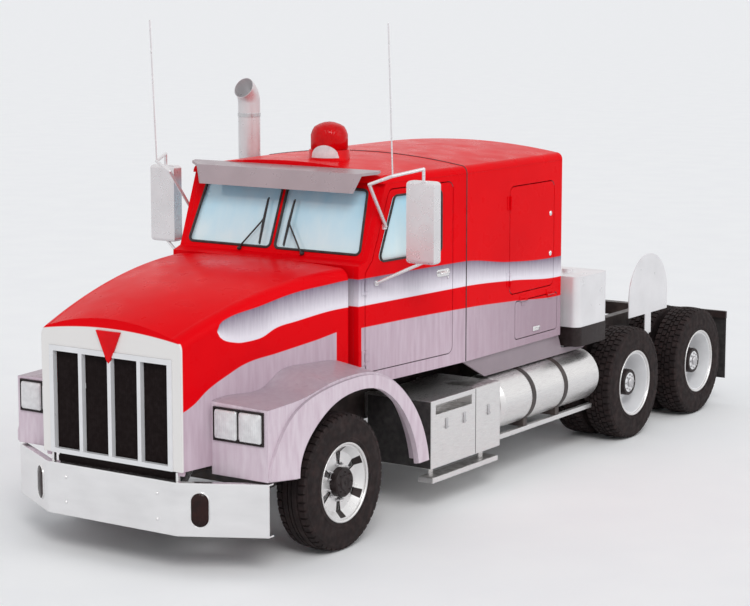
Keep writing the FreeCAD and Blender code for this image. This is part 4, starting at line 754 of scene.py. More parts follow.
def rounded(corners, radius, steps=5):
    """Points round a flat outline whose corners are arcs."""
    points = []
    count = len(corners)
    for i in range(count):
        corner = corners[i]
        back = (corners[i - 1] - corner).normalized()
        ahead = (corners[(i + 1) % count] - corner).normalized()
        half = back.angle(ahead) / 2
        reach = radius / math.tan(half)
        centre = corner + (back + ahead).normalized() * (radius / math.sin(half))
        start = corner + back * reach - centre
        end = corner + ahead * reach - centre
        angle = start.angle(end)
        for k in range(steps + 1):
            share = k / steps
            spoke = start * math.sin((1 - share) * angle) + end * math.sin(share * angle)
            points.append(centre + spoke / math.sin(angle))
    return points


# Wheels

TYRE_WIDTH = 0.28
TYRE_FACE = 1.21
TWIN_PITCH = 0.33
TREAD_RADIUS = 0.520
TREAD_CROWN = 0.010
TREAD_HALF = 0.12
TREAD_DEPTH = 0.014
GROOVE_SLOPE = 0.001
# A side wall as (inset from its face, radius), and the ribs as insets of their two edges
SIDE_WALL = [(0.014, 0.2868), (0.006, 0.300), (0.004, 0.325), (0.001, 0.331), (0.001, 0.337),
             (0.004, 0.343), (0.000, 0.395), (0.003, 0.440), (0.010, 0.470), (0.008, 0.478),
             (0.014, 0.492)]
RIBS = [(0.020, 0.068), (0.078, 0.119), (0.129, 0.151), (0.161, 0.202), (0.212, 0.260)]
# How far each rib is turned, and where its points lie, as shares of a pitch
RIB_SHIFTS = (0.0, 0.35, 0.7, 0.35, 0.0)
PITCH_POINTS = (0.0, 0.74, 0.78, 0.96)
CUT_START = 0.75
PITCHES = 50
FRONT_LUGS = (0, 4)
DRIVE_LUGS = (0, 1, 2, 3, 4)


def tyre_rows():
    """Rows across a tyre: (inset from the outer face, radius, rib number or None for a groove)."""
    rows = [(inset, radius, None) for inset, radius in SIDE_WALL]
    for rib, (start, end) in enumerate(RIBS):
        for inset in (start, end):
            off = abs(inset - TYRE_WIDTH / 2) / TREAD_HALF
            rows.append((inset, TREAD_RADIUS - TREAD_CROWN * off ** 2, rib))
        if rib < len(RIBS) - 1:
            for inset in (end + GROOVE_SLOPE, RIBS[rib + 1][0] - GROOVE_SLOPE):
                rows.append((inset, TREAD_RADIUS - TREAD_DEPTH, None))
    rows += [(TYRE_WIDTH - inset, radius, None) for inset, radius in reversed(SIDE_WALL)]
    return rows


def tyre(name, node, body, side, outer_faces, lugged):
    """Tyres with ribbed tread; lugged ribs are cut across at every pitch."""
    shape = Shape()
    middle = centre_of(node)
    for outer in outer_faces:
        grid = []
        for inset, radius, rib in tyre_rows():
            shift = 0.0 if rib is None else RIB_SHIFTS[rib]
            centre = middle + Vector((side * (outer - inset), 0, 0))
            ring = []
            for pitch in range(PITCHES):
                for share in PITCH_POINTS:
                    cut = share > CUT_START and rib in lugged
                    reach = radius - (TREAD_DEPTH if cut else 0.0)
                    ring.append(around(centre, reach, CIRCLE * (pitch + share + shift) / PITCHES))
            grid.append(ring)
        shape.rings(grid, closed=True)
    made = shape.piece(name, "tyre", body, sharp=30)
    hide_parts(node)


# Places along the axles
RIM_X = 1.190
FRONT_DISC_X = 1.1405
FRONT_CAP_X = 1.2
DRIVE_DISC_X = 1.0
DRIVE_END_X = 1.15
NUT_LEAN = 12


def rim_flange(place, body, centre, out):
    """The rolled edge of the rim, over the tyre's bead."""
    shape = Shape().hoop([(0.0, 0.2845), (0.0, 0.296), (0.014, 0.3035), (0.0175, 0.3015),
                          (0.0185, 0.295), (0.0165, 0.289), (0.011, 0.2845)],
                         centre + out * RIM_X, out, 72)
    shape.piece("rim_flange_" + place, "polished", body, sharp=60)


def front_hub(hand, body, centre, out):
    """Two nuts on each spoke, and the dark cap over the hub."""
    turns = [360 / SPOKES * (spoke + 0.5) + lean
             for spoke in range(SPOKES) for lean in (-NUT_LEAN, NUT_LEAN)]
    nuts = Shape().nuts(centre + out * FRONT_DISC_X, out, 0.137, turns, 0.011, 0.020)
    nuts.piece("nuts_front_" + hand, "chrome", body, STEEL)
    start = centre + out * FRONT_CAP_X
    cap = Shape().lathe([(-0.0585, 0.1115), (-0.004, 0.1115), (0.006, 0.102), (0.006, 0.062),
                         (0.012, 0.058), (0.014, 0.040), (0.012, 0.036), (0.012, 0.014),
                         (0.016, 0.012), (0.016, 0.0)], start, out, 48)
    cap.nuts(start + out * 0.006, out, 0.082, range(0, 360, 45), 0.006, 0.007)
    cap.piece("hub_cap_front_" + hand, "chrome", body, DARK_PAINT)


def drive_hub(place, body, centre, out):
    """Nuts round the hub in the dish, a dark sleeve over it that is partly painted shade for the
    deep dish, and the axle flange's studs.
    """
    disc = centre + out * DRIVE_DISC_X
    end = centre + out * DRIVE_END_X
    ring = Shape().hoop([(0.0, 0.156), (0.012, 0.154), (0.016, 0.148), (0.016, 0.124),
                         (0.146, 0.120), (0.153, 0.115), (0.153, 0.0915), (0.148, 0.0906),
                         (0.0, 0.1104)], disc, out)
    # The dark sleeve: partly a dark hub part, partly painted shade in the dish
    ring.piece("hub_ring_and_shade_" + place, "chassis_paint", body, DARK_PAINT)
    nuts = Shape().nuts(disc + out * 0.016, out, 0.131, range(0, 360, 36), 0.012, 0.022)
    nuts.nuts(end, out, 0.070, range(0, 360, 45), 0.009, 0.012)
    nuts.lathe([(0.0, 0.044), (0.018, 0.042), (0.024, 0.034), (0.024, 0.0)], end, out)
    nuts.piece("nuts_drive_" + place, "chrome", body, STEEL)


def wheels():
    for hand, side in SIDES:
        out = Vector((side, 0, 0))
        body = "front_wheel_" + hand
        node = "front_tyre_" + hand
        tyre("tyre_front_" + hand, node, body, side, (TYRE_FACE,), FRONT_LUGS)
        rim_flange("front_" + hand, body, centre_of(node), out)
        front_hub(hand, body, centre_of(node), out)
        for place in ("fore_" + hand, "aft_" + hand):
            body = "drive_" + place
            node = "drive_tyres_" + place
            tyre("tyre_drive_" + place, node, body, side, (TYRE_FACE, TYRE_FACE - TWIN_PITCH),
                 DRIVE_LUGS)
            rim_flange(place, body, centre_of(node), out)
            drive_hub(place, body, centre_of(node), out)


# Lamps

def headlamp_lenses():
    """Two fluted rectangular lenses in each dark case."""
    low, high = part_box("headlamps")
    gap = 0.012
    inset = 0.004
    inner = 0.715
    middle = (inner + high.x) / 2
    z0 = low.z + gap + inset
    z1 = high.z - gap - inset
    for hand, side in SIDES:
        shape = Shape()
        for x0, x1 in ((inner + gap, middle - gap / 2), (middle + gap / 2, high.x - gap)):
            corners = [Vector((side * x, low.y, z))
                       for x, z in oblong(x0 + inset, x1 - inset, z0, z1)]
            shape.layers(rounded(corners, 0.018), sum(corners, Vector()) / 4, BACK,
                         ((1.0, 0.012), (1.0, -0.002), (0.94, -0.010), (0.6, -0.016),
                          (0.2, -0.018)))
        shape.piece("headlamp_lenses_" + hand, "lamp", "hood", CLEAR_LENS)


# The bumper's wings in plan, and the share of a wing at which its fog lamp sits
WING_START = 0.62
WING_END = 1.195
WING_SWEEP = 0.32
FOG_SHARE = 0.25
FOG_Z = 0.495
FOG_RADIUS = 0.064
FOG_RISE = 0.060
FOG_SIDES = 32


def fog_lamps():
    """Dark oval lenses with a rim in the bumper's wings."""
    reach = WING_END - WING_START
    angle = math.atan2(WING_SWEEP, reach)
    oval = []
    for i in range(FOG_SIDES):
        turn = CIRCLE * (i + 0.5) / FOG_SIDES
        lift = math.copysign(FOG_RISE, math.sin(turn))
        oval.append((FOG_RADIUS * math.cos(turn), FOG_RADIUS * math.sin(turn) + lift))
    for hand, side in SIDES:
        middle = at(side * (WING_START + FOG_SHARE * reach), FOG_SHARE * WING_SWEEP, FOG_Z)
        across = Vector((side * math.cos(angle), math.sin(angle), 0))
        outward = Vector((side * math.sin(angle), -math.cos(angle), 0))
        lens = Shape().layers([middle + across * u + UP * v for u, v in oval], middle, outward,
                              ((1.0, -0.05), (1.0, -0.002), (0.93, 0.006), (0.6, 0.012),
                               (0.2, 0.014)))
        lens.piece("fog_lens_" + hand, "lamp", look=DARK_LENS)
        rim = Shape().tube([middle + across * (u * 1.05) + UP * (v * 1.03) + outward * 0.002
                            for u, v in oval], 0.005, 8, closed=True)
        rim.piece("fog_rim_" + hand, "chrome")


BEACON_X = 0.17
BEACON_D = 2.52
BEACON_FOOT = 2.80
BEACON_RADIUS = 0.165
BEACON_SIDES = 120
BEACON_RIB = 0.0015
WINDOW_FACING = math.radians(-70)
WINDOW_HALF = math.radians(42)
WINDOW_STEPS = 20


def beacon():
    """The roof beacon: a ribbed red dome on a round foot."""
    foot = at(BEACON_X, BEACON_D, BEACON_FOOT)
    radius = BEACON_RADIUS
    base = Shape().lathe([(-0.028, radius), (0.066, radius), (0.072, radius - 0.004),
                          (0.072, radius - 0.02)], foot, UP, 64)
    base.piece("beacon_foot", "body_red", look=RED_TRIM)
    wall = radius - 0.015
    profile = [(0.073, wall - 0.004), (0.078, wall), (0.19, wall), (0.225, wall * 0.92),
               (0.255, 0.73 * radius), (0.276, 0.5 * radius), (0.290, 0.25 * radius), (0.295, 0.0)]
    rings = [[level(foot, max(reach - BEACON_RIB * (i % 2), POINT), CIRCLE * i / BEACON_SIDES, rise)
              for i in range(BEACON_SIDES)] for rise, reach in profile]
    made = Shape().rings(rings).piece("beacon_dome", "lamp", sharp=60)
    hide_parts("lamps")
    beacon_window(foot)


def beacon_window(foot):
    """The clear window low in the dome's front, with an arched top."""
    outer = BEACON_RADIUS + 0.004
    inner = BEACON_RADIUS - 0.03
    bottom = 0.012
    rings = []
    for i in range(WINDOW_STEPS + 1):
        share = i / WINDOW_STEPS
        turn = WINDOW_FACING + WINDOW_HALF * (2 * share - 1)
        arch = math.cos((share - 0.5) * math.pi) ** 0.5 if 0 < share < 1 else 0.0
        top = 0.02 + 0.095 * arch
        rings.append([level(foot, outer, turn, bottom), level(foot, outer, turn, top),
                      level(foot, inner, turn, top), level(foot, inner, turn, bottom)])
    Shape().rings(rings).piece("beacon_window", "lamp", look=CLEAR_LENS)


def tail_lamps():
    """Six round red lamps with bright rims on the end bar."""
    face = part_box("lamps")[1].y - 0.02
    lenses = Shape()
    rims = Shape()
    for side in (1, -1):
        for x in (0.370, 0.450, 0.530):
            centre = Vector((side * x, face, 0.895))
            lenses.lathe([(0.0, 0.027), (0.010, 0.027), (0.016, 0.020), (0.019, 0.008),
                          (0.0195, 0.0)], centre, BACK)
            rims.bezel(centre, BACK, 0.032, 0.030, 0.0275, 0.012, 32)
    lenses.piece("tail_lenses", "lamp")
    rims.piece("tail_rims", "chrome")


# Front of the truck

def nose_wedge():
    """The red wedge that hangs from the nose over the grille's middle bar."""
    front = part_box("grille")[0].y
    top = 1.722
    tip = 1.488
    outline = [Vector((x, front, z)) for x, z in ((-0.115, top), (0.115, top), (0.018, tip + 0.02),
                                                  (0.0, tip), (-0.018, tip + 0.02))]
    shape = Shape().layers(outline, Vector((0, front, 1.64)), BACK,
                           ((1.0, 0.009), (1.0, -0.006), (0.90, -0.012)))
    shape.piece("nose_wedge", "body_red", "hood", RED_TRIM, 20)


def bumper_bolts():
    """Round-headed bolts along the bumper's middle, as the brackets need."""
    shape = Shape()
    for side in (1, -1):
        for z in (0.40, 0.59):
            shape.lathe([(0.0, 0.013), (0.004, 0.012), (0.007, 0.008), (0.008, 0.0)],
                        at(side * 0.4375, 0.0, z), AHEAD, 20)
    shape.piece("bumper_bolts", "chrome")


def valance():
    """The dark plate over the bumper that shuts the gap below the grille; its near-black also
    stands as painted shade in that gap.
    """
    shape = Shape().box(at(-0.56, 0.078, 0.66), at(0.56, 0.082, 0.795), 0.001)
    # Near-black, partly painted shade for the gap
    shape.piece("valance", "chassis_paint", look=GRILLE_BLACK)


# Glass seals and wipers

def seal(name, body, corners, bend, radius):
    """A closed rubber strip along the edge of a pane."""
    shape = Shape().tube(rounded(corners, bend, 6), radius, 8, closed=True)
    shape.piece(name, "rubber", body)


def door_seal(hand, side):
    low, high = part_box("door_glass_" + hand)
    lean = 0.4 * (high.z - low.z)
    corners = [Vector((side * (half_at(station(y)) + 0.001), y, z)) for y, z in
               ((low.y, low.z), (low.y + lean, high.z), (high.y, high.z), (high.y, low.z))]
    seal("door_seal_" + hand, "door_" + hand, corners, 0.045, 0.009)


screen_low, screen_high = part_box("windscreen")
SCREEN_RAKE = (screen_high.y - 0.008 - screen_low.y) / (screen_high.z - screen_low.z)
# Points of a wiper as (x, height, distance out from the glass), and its tubes' radii and sides
WIPER_FOOT = (0.31, 2.098, 0.012)
WIPER_KNEE = (0.145, 2.305, 0.030)
WIPER_TUBES = (
    ((WIPER_FOOT, (0.29, 2.125, 0.026), WIPER_KNEE), 0.007, 8),
    ((WIPER_KNEE, (0.128, 2.34, 0.024)), 0.006, 8),
    (((0.120, 2.15, 0.020), (0.125, 2.32, 0.028), (0.130, 2.49, 0.020)), 0.007, 8),
    (((0.120, 2.14, 0.011), (0.130, 2.50, 0.011)), 0.006, 6),
)


def on_screen(x, z, out=0.0):
    """A point on the leaning windscreen, or this far out from it."""
    return Vector((x, screen_low.y - 0.020 + (z - screen_low.z) * SCREEN_RAKE - out, z))


def screen_seals():
    post = 0.0225
    bottom = screen_low.z
    top = screen_high.z
    for hand, side in SIDES:
        corners = [on_screen(side * x, z) for x, z in
                   ((post, bottom), (0.845, bottom), (0.790, top), (post, top))]
        seal("screen_seal_" + hand, "chassis", corners, 0.040, 0.011)


def wipers():
    """Arm and blade for each pane, with the blade upright beside the centre post."""
    for hand, side in SIDES:
        shape = Shape()
        x, z, out = WIPER_FOOT
        shape.lathe([(-0.012, 0.016), (0.012, 0.014), (0.020, 0.009), (0.022, 0.0)],
                    on_screen(side * x, z, out), AHEAD, 20)
        for points, radius, sides in WIPER_TUBES:
            shape.tube([on_screen(side * x, z, out) for x, z, out in points], radius, sides)
        made = shape.piece("wiper_" + hand, "black_plastic")
        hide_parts("wipers")


# Doors and hatches

HANDLE_D = 2.94
HANDLE_Z = 1.885
LOCK_D = 2.998
MIRROR_REAR = 2.255
MIRROR_INNER = 1.17
MIRROR_OUTER = 1.38


def door_handle(hand, side):
    """A grip on its rounded plate, and the lock under it."""
    out = Vector((side, 0, 0))
    plate = [at(side * half_at(d), d, z) for d, z in
             oblong(HANDLE_D - 0.095, HANDLE_D + 0.075, HANDLE_Z - 0.030, HANDLE_Z + 0.030)]
    shape = Shape().prism(rounded(plate, 0.024), out * 0.005)
    start = at(side * (half_at(HANDLE_D) + 0.005), HANDLE_D + 0.055, HANDLE_Z + 0.002)
    shape.tube([start + Vector((side * x, y, 0)) for x, y in
                ((0, 0), (0.022, -0.012), (0.024, -0.110), (0.012, -0.128))], 0.009)
    lock = at(side * half_at(LOCK_D), LOCK_D, HANDLE_Z - 0.045)
    shape.button(lock, out, 0.010, 0.008, 0.007, 18)
    shape.piece("door_handle_" + hand, "chrome", "door_" + hand)


def hatch_latch(hand, side):
    """Two round turn latches by the hatch's rear edge."""
    low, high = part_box("hatch_" + hand)
    shape = Shape()
    for z in (low.z + 0.28, high.z - 0.28):
        centre = Vector((side * BODY_HALF, high.y - 0.06, z))
        shape.button(centre, Vector((side, 0, 0)), 0.022, 0.006, 0.019, 24)
        shape.box(centre + Vector((side * 0.005, -0.004, -0.015)),
                  centre + Vector((side * 0.012, 0.004, 0.015)), 0.001)
    shape.piece("hatch_latch_" + hand, "chrome", "hatch_" + hand)


def locker_latch(hand, side):
    """A plate with a pull handle low on the lower hatch."""
    low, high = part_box("locker_" + hand)
    centre = Vector((side * BODY_HALF, (low.y + high.y) / 2, low.z + 0.05))
    shape = Shape().box(centre + Vector((0, -0.06, -0.02)),
                        centre + Vector((side * 0.006, 0.06, 0.02)), 0.003)
    shape.tube([centre + Vector((side * x, y, 0)) for x, y in
                ((0.006, -0.04), (0.016, -0.03), (0.016, 0.03), (0.006, 0.04))], 0.004, 8)
    shape.piece("locker_latch_" + hand, "chrome", "locker_" + hand)


def mirror_glass(hand, side):
    """The long flat glass over a low wide-view glass, on the rear of the head."""
    glass = Shape()
    rim = Shape()
    for z0, z1 in ((2.27, 2.67), (2.09, 2.24)):
        corners = [at(side * x, MIRROR_REAR, z)
                   for x, z in oblong(MIRROR_INNER, MIRROR_OUTER, z0, z1)]
        path = rounded(corners, 0.03)
        glass.prism(path, BACK * 0.003)
        rim.tube([point + BACK * 0.002 for point in path], 0.004, 8, closed=True)
    glass.piece("mirror_glass_" + hand, "mirror_shell", "door_" + hand, MIRROR_GLASS)
    rim.piece("mirror_rim_" + hand, "rubber", "door_" + hand)


# Beside the frame

BOX_REAR = 3.59
BOX_LOW = 0.365
BOX_HIGH = 0.905
BOX_SEAM = 3.2
STACK_RADIUS = 0.095
STACK_D = 3.185
RAIL_FACE = 0.43
CROSSMEMBERS = (0.52, 3.05, 4.30, 5.40, 6.62)
HANGERS = (6.45, 6.55, 6.69, 6.79)


def tank_caps():
    """Ribbed filler caps on the fuel tanks."""
    low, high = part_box("fuel_tanks")
    radius = 0.062
    shape = Shape()
    for side in (1, -1):
        centre = Vector((side * 0.86, low.y + 0.28, high.z - 0.012))
        shape.lathe([(0.0, 0.048), (0.016, 0.048), (0.018, radius), (0.050, radius),
                     (0.056, 0.054), (0.056, 0.0)], centre, UP)
        for i in range(12):
            rib = level(centre, radius, CIRCLE * i / 12, 0.034)
            shape.rod(rib - UP * 0.014, rib + UP * 0.014, 0.004, 8)
    shape.piece("tank_caps", "chrome")


def step_treads():
    """Studded plates on the boxes' steps and boards."""
    low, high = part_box("step_boxes")
    front = station(low.y)
    # Each plate's edges, as distances in from the boxes' outer face, its stations and its height
    plates = ((0.145, 0.004, front + 0.075, front + 0.615, 0.790),
              (0.136, 0.004, front + 0.036, BOX_REAR - 0.036, 0.280),
              (0.30, 0.01, front + 0.70, BOX_REAR - 0.02, 0.910))
    shape = Shape()
    for side in (1, -1):
        for inner, outer, start, end, z in plates:
            shape.box(at(side * (high.x - inner), start, z),
                      at(side * (high.x - outer), end, z + 0.003), 0.001)
    shape.piece("step_treads", "polished", look=TREAD)


def box_trim():
    """Latches, and the seam between the battery box and the tool box."""
    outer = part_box("step_boxes")[1].x
    seam = Shape()
    latches = Shape()
    for side in (1, -1):
        seam.box(at(side * (outer - 0.0016), BOX_SEAM - 0.004, BOX_LOW),
                 at(side * (outer + 0.0004), BOX_SEAM + 0.004, BOX_HIGH))
        for d in (2.75, 3.02, 3.40):
            latches.box(at(side * outer, d - 0.016, 0.655),
                        at(side * (outer + 0.008), d + 0.016, 0.745), 0.003)
            latches.rod(at(side * (outer + 0.010), d - 0.02, 0.67),
                        at(side * (outer + 0.010), d + 0.02, 0.67), 0.005, 10)
    seam.piece("box_seams", "rubber")
    latches.piece("box_latches", "chrome", look=STEEL)


def stack_bands():
    """Clamps round the exhaust stack."""
    radius = STACK_RADIUS
    shape = Shape()
    for z in (1.42, 2.30, 3.05):
        centre = at(-(BODY_HALF + 0.035 + radius), STACK_D, z)
        shape.hoop([(0.0, radius - 0.001), (0.0, radius + 0.004), (0.030, radius + 0.004),
                    (0.030, radius - 0.001)], centre, UP)
        shape.box(centre + Vector((-radius - 0.022, -0.010, 0.005)),
                  centre + Vector((-radius - 0.002, 0.010, 0.025)), 0.002)
    shape.piece("stack_bands", "chrome", look=STEEL)


def oil_tank_boots_and_shade():
    """The dark saddle that each oil tank stands in, whose near-black is also painted shade under
    the tank.
    """
    shape = Shape()
    for side in (1, -1):
        corners = [at(side * x, d, 0.996) for x, d in oblong(0.616, 1.154, 4.926, 5.494)]
        shape.prism(rounded(corners, 0.074), UP * 0.172)
    # Dark paint that is partly painted shade under the tanks
    shape.piece("oil_tank_boots_and_shade", "chassis_paint", look=DARK_PAINT)


def splash_plates():
    """Rubber sheets on the fronts of the step boxes, behind the front wheels."""
    low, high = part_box("step_boxes")
    shape = Shape()
    for side in (1, -1):
        shape.box(Vector((side * 0.545, low.y - 0.004, BOX_LOW)),
                  Vector((side * (high.x - 0.004), low.y - 0.0002, BOX_HIGH)), 0.0015)
    shape.piece("splash_plates", "rubber")


def split_seal():
    """The rubber strip that covers the joint of cab and sleeper, from sill to sill."""
    sill = 1.115
    edge = 2.725
    crown = 0.075
    radius = 0.06
    steps = 24
    flat = BODY_HALF - radius
    span = (flat * flat + crown * crown) / (2 * crown)
    flank = [at(BODY_HALF, SPLIT, sill), at(BODY_HALF, SPLIT, edge - radius)]
    for i in range(1, 6):
        angle = math.pi / 2 * i / 6
        flank.append(at(flat + radius * math.cos(angle), SPLIT,
                        edge - radius + radius * math.sin(angle)))
    roof = []
    for i in range(steps + 1):
        x = flat * (1 - 2 * i / steps)
        roof.append(at(x, SPLIT, edge + crown - span + math.sqrt(span * span - x * x)))
    other = [Vector((-point.x, point.y, point.z)) for point in reversed(flank)]
    Shape().tube(flank + roof + other, 0.005, 8).piece("split_seal", "rubber")


def flap_weights():
    """A bright bar with rivets along the foot of each mud flap."""
    low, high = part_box("mud_flaps")
    inner = 0.62
    width = high.x - 0.02 - inner
    rivets = 4
    shape = Shape()
    for side in (1, -1):
        shape.box(Vector((side * inner, high.y, low.z + 0.03)),
                  Vector((side * (inner + width), high.y + 0.004, low.z + 0.075)), 0.002)
        for i in range(rivets):
            x = side * (inner + width * (i + 0.5) / rivets)
            shape.lathe([(0.0, 0.008), (0.004, 0.007), (0.005, 0.0)],
                        Vector((x, high.y + 0.004, low.z + 0.052)), BACK, 12)
    shape.piece("flap_weights", "chrome")


def frame_bolts():
    """Bolt heads along both rails, at the crossmembers and the spring hangers."""
    shape = Shape()
    for side in (1, -1):
        out = Vector((side, 0, 0))
        for d in CROSSMEMBERS:
            for off in (-0.022, 0.022):
                for z in (0.82, 0.87, 0.905):
                    shape.button(at(side * RAIL_FACE, d + off, z), out, 0.012, 0.012, 0.010, 6)
        for d in HANGERS:
            for z in (0.70, 0.76):
                shape.button(at(side * RAIL_FACE, d, z), out, 0.014, 0.014, 0.011, 6)
    shape.piece("frame_bolts", "chassis_paint", look=STEEL)


# Inside the cab

CUSHION_INSET = Vector((0.012, 0.012, 0.012))
CUSHION_BEVEL = 0.022
CUSHION_REACH = 0.026
CUSHION_PRESSURE = 4.0
CUSHION_FRAMES = 20
CHANNEL_DEPTH = 0.012
CHANNEL_WIDTH = 0.016
FLAT_FOOT = 0.008


def settle(thing):
    """Puts the mesh that an object's modifiers make in place of its own."""
    seen = thing.evaluated_get(bpy.context.evaluated_depsgraph_get())
    mesh = bpy.data.meshes.new_from_object(seen)
    thing.modifiers.clear()
    thing.data = mesh


def inflate(pad):
    """Swells a pad as cloth under pressure, no further than its reach."""
    scene = bpy.context.scene
    before = [vertex.co.copy() for vertex in pad.data.vertices]
    cloth = pad.modifiers.new("cloth", "CLOTH").settings
    cloth.use_pressure = True
    cloth.uniform_pressure_force = CUSHION_PRESSURE
    cloth.effector_weights.gravity = 0
    for number in range(1, CUSHION_FRAMES + 1):
        scene.frame_set(number)
    settle(pad)
    scene.frame_set(1)
    for vertex, start in zip(pad.data.vertices, before):
        step = vertex.co - start
        if step.length > CUSHION_REACH:
            vertex.co = start + step * (CUSHION_REACH / step.length)


def puffed(low, high, voxel):
    """A rounded block, swollen and then smoothed, as a shape."""
    block = Shape().box(low + CUSHION_INSET, high - CUSHION_INSET, CUSHION_BEVEL)
    pad = placed("pad", block.data("pad"))
    remesh = pad.modifiers.new("remesh", "REMESH")
    remesh.mode = "VOXEL"
    remesh.voxel_size = voxel
    settle(pad)
    inflate(pad)
    pad.modifiers.new("smooth", "SUBSURF").levels = 1
    settle(pad)
    shape = Shape()
    shape.mesh.from_mesh(pad.data)
    bpy.data.objects.remove(pad)
    return shape


def cushion(name, low, high, lean=0.0, channels=0, voxel=0.017):
    """A stuffed pad with sewn channels, which fills its box and is flat where it rests."""
    shape = puffed(low, high, voxel)
    size = high - low
    thin = min(range(3), key=lambda k: size[k])
    wide, deep = [k for k in range(3) if k != thin]
    least = [min(vertex.co[k] for vertex in shape.mesh.verts) for k in range(3)]
    most = [max(vertex.co[k] for vertex in shape.mesh.verts) for k in range(3)]
    foot = low - UP * FLAT_FOOT
    for vertex in shape.mesh.verts:
        share = [(vertex.co[k] - least[k]) / (most[k] - least[k]) for k in range(3)]
        place = Vector([foot[k] + share[k] * (high[k] - foot[k]) for k in range(3)])
        along = share[wide] * channels
        if abs(share[thin] - 0.5) > 0.3 and 0 < round(along) < channels:
            gap = abs(along - round(along)) * size[wide] / channels
            dip = CHANNEL_DEPTH * math.exp(-(gap / CHANNEL_WIDTH) ** 2)
            dip *= 1 - abs(2 * share[deep] - 1) ** 6
            place[thin] -= math.copysign(dip, share[thin] - 0.5)
        place.z = max(place.z, low.z)
        place.y += (place.z - low.z) * lean
        vertex.co = place
    made = shape.piece(name, "upholstery", sharp=70)


SEAT_X = 0.48
SEAT_FLOOR = 1.1703


def seats():
    """Two seats on their stands, and the bunk's mattress."""
    for hand, side in SIDES:
        x = side * SEAT_X
        stand = Shape().box(at(x - 0.17, 2.50, SEAT_FLOOR), at(x + 0.17, 2.84, 1.36), 0.02)
        stand.box(at(x - 0.22, 2.44, 1.40), at(x + 0.22, 2.90, 1.475), 0.02)
        stand.box(at(x - 0.12, 2.58, 1.35), at(x + 0.12, 2.78, 1.41), 0.01)
        made = stand.piece("seat_stand_" + hand, "black_plastic")
        if side == 1:
            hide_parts("seats_and_bunk")
        cushion("seat_cushion_" + hand, at(x - 0.245, 2.405, 1.478), at(x + 0.245, 2.885, 1.598),
                channels=3)
        cushion("seat_back_" + hand, at(x - 0.235, 2.80, 1.575), at(x + 0.235, 2.905, 2.270),
                lean=0.13, channels=3)
    half = BODY_HALF - CAB_WALL - 0.025
    cushion("bunk_mattress", at(-half, 3.995, 1.5405), at(half, 4.775, 1.688),
            channels=5, voxel=0.026)


def gauges():
    """Plain round dials on the dashboard, with bare faces."""
    rims = Shape()
    faces = Shape()
    out = Vector((0, 0.45, 0.9)).normalized()
    for i in range(5):
        centre = at(0.30 + 0.09 * i, 2.17, 1.992)
        rims.bezel(centre, out, 0.038, 0.035, 0.032, 0.010, 28)
        faces.lathe([(0.0, 0.032), (0.004, 0.032), (0.004, 0.0)], centre, out, 28)
    rims.piece("gauge_rims", "chrome")
    faces.piece("gauge_faces", "black_plastic")


# The room

FLOOR_REACH = 900
LIGHT_COLOUR = (0.94, 0.96, 1.0)
LIGHT_STRENGTH = 0.62
SHOWN_COLOUR = (0.98, 0.98, 0.985)
SHOWN_STRENGTH = 1.0


def floor():
    """A wide pale floor, which is not part of the truck."""
    ground = bpy.data.meshes.new("floor")
    corners = oblong(-FLOOR_REACH, FLOOR_REACH, -FLOOR_REACH, FLOOR_REACH)
    ground.from_pydata([(x, y, 0) for x, y in corners], [], [(0, 1, 2, 3)])
    finish = Finish("floor", (0.95, 0.95, 0.95), 0.9).specular(0.1)
    finish.mottled((0.97, 0.97, 0.965), 1.5).rough(0.85, 0.95, 3.0).bump(0.0004, 2.0, 1.0)
    ground.materials.append(finish.material)
    placed("floor", ground)


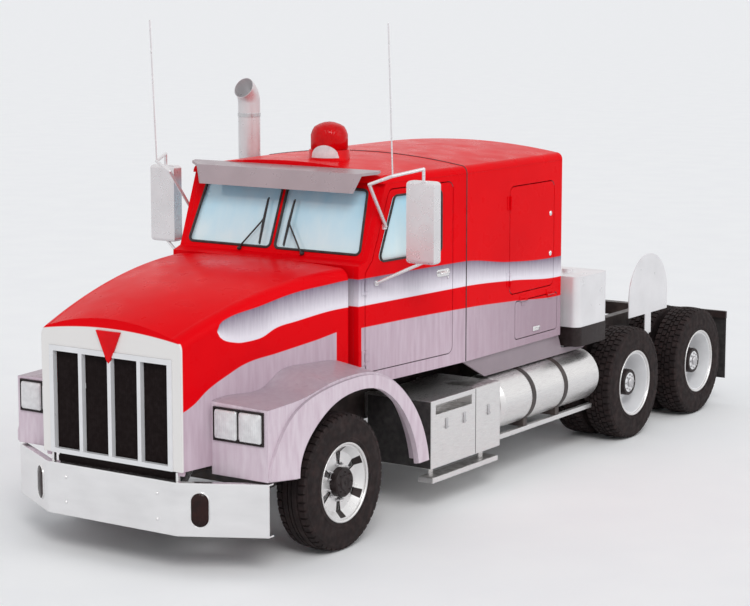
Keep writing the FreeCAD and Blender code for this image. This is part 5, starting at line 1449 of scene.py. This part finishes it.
def sky():
    """Soft light from all round, and a paler sky for the camera, mirrors and panes to show."""
    world = bpy.data.worlds.new("studio")
    bpy.context.scene.world = world
    world.use_nodes = True
    nodes = world.node_tree.nodes
    links = world.node_tree.links
    light = nodes["Background"]
    shown = nodes.new("ShaderNodeBackground")
    for node, colour, strength in ((light, LIGHT_COLOUR, LIGHT_STRENGTH),
                                   (shown, SHOWN_COLOUR, SHOWN_STRENGTH)):
        node.inputs["Color"].default_value = (*colour, 1)
        node.inputs["Strength"].default_value = strength
    rays = nodes.new("ShaderNodeLightPath").outputs
    seen = rays["Is Camera Ray"]
    for ray in ("Is Glossy Ray", "Is Transmission Ray"):
        either = nodes.new("ShaderNodeMath")
        either.operation = "MAXIMUM"
        links.new(seen, either.inputs[0])
        links.new(rays[ray], either.inputs[1])
        seen = either.outputs[0]
    mix = nodes.new("ShaderNodeMixShader")
    for source, socket in zip((seen, light.outputs[0], shown.outputs[0]), mix.inputs):
        links.new(source, socket)
    links.new(mix.outputs[0], nodes["World Output"].inputs[0])


def aim(made, direction):
    """Turns a camera or light so that it looks along a direction."""
    made.rotation_mode = "QUATERNION"
    made.rotation_quaternion = Vector(direction).to_track_quat("-Z", "Y")


def sun(name, direction, strength, softness):
    data = bpy.data.lights.new(name, "SUN")
    data.energy = strength
    data.angle = math.radians(softness)
    aim(placed(name, data), direction)


def camera():
    data = bpy.data.cameras.new("camera")
    data.lens = CAMERA_LENS
    data.sensor_width = CAMERA_SENSOR
    data.shift_y = CAMERA_SHIFT
    data.clip_end = 3000
    made = placed("camera", data)
    made.location = at(CAMERA_X, CAMERA_D, CAMERA_Z)
    aim(made, (-math.sin(CAMERA_YAW) * math.cos(CAMERA_PITCH),
               math.cos(CAMERA_YAW) * math.cos(CAMERA_PITCH), -math.sin(CAMERA_PITCH)))
    bpy.context.scene.camera = made


def main():
    for build in (dress_nodes, wheels, headlamp_lenses, fog_lamps, beacon, tail_lamps, nose_wedge,
                  bumper_bolts, valance, screen_seals, wipers):
        build()
    for hand, side in SIDES:
        for build in (door_seal, door_handle, hatch_latch, locker_latch, mirror_glass):
            build(hand, side)
    for build in (tank_caps, step_treads, box_trim, stack_bands, oil_tank_boots_and_shade, splash_plates,
                  split_seal, flap_weights, frame_bolts, seats, gauges, floor, sky):
        build()
    sun("key", (-0.55, 0.62, -0.72), 1.05, 22)
    sun("fill", (-0.85, -0.25, -0.45), 0.35, 40)
    camera()


main()
bpy.context.scene.view_settings.view_transform = "Standard"
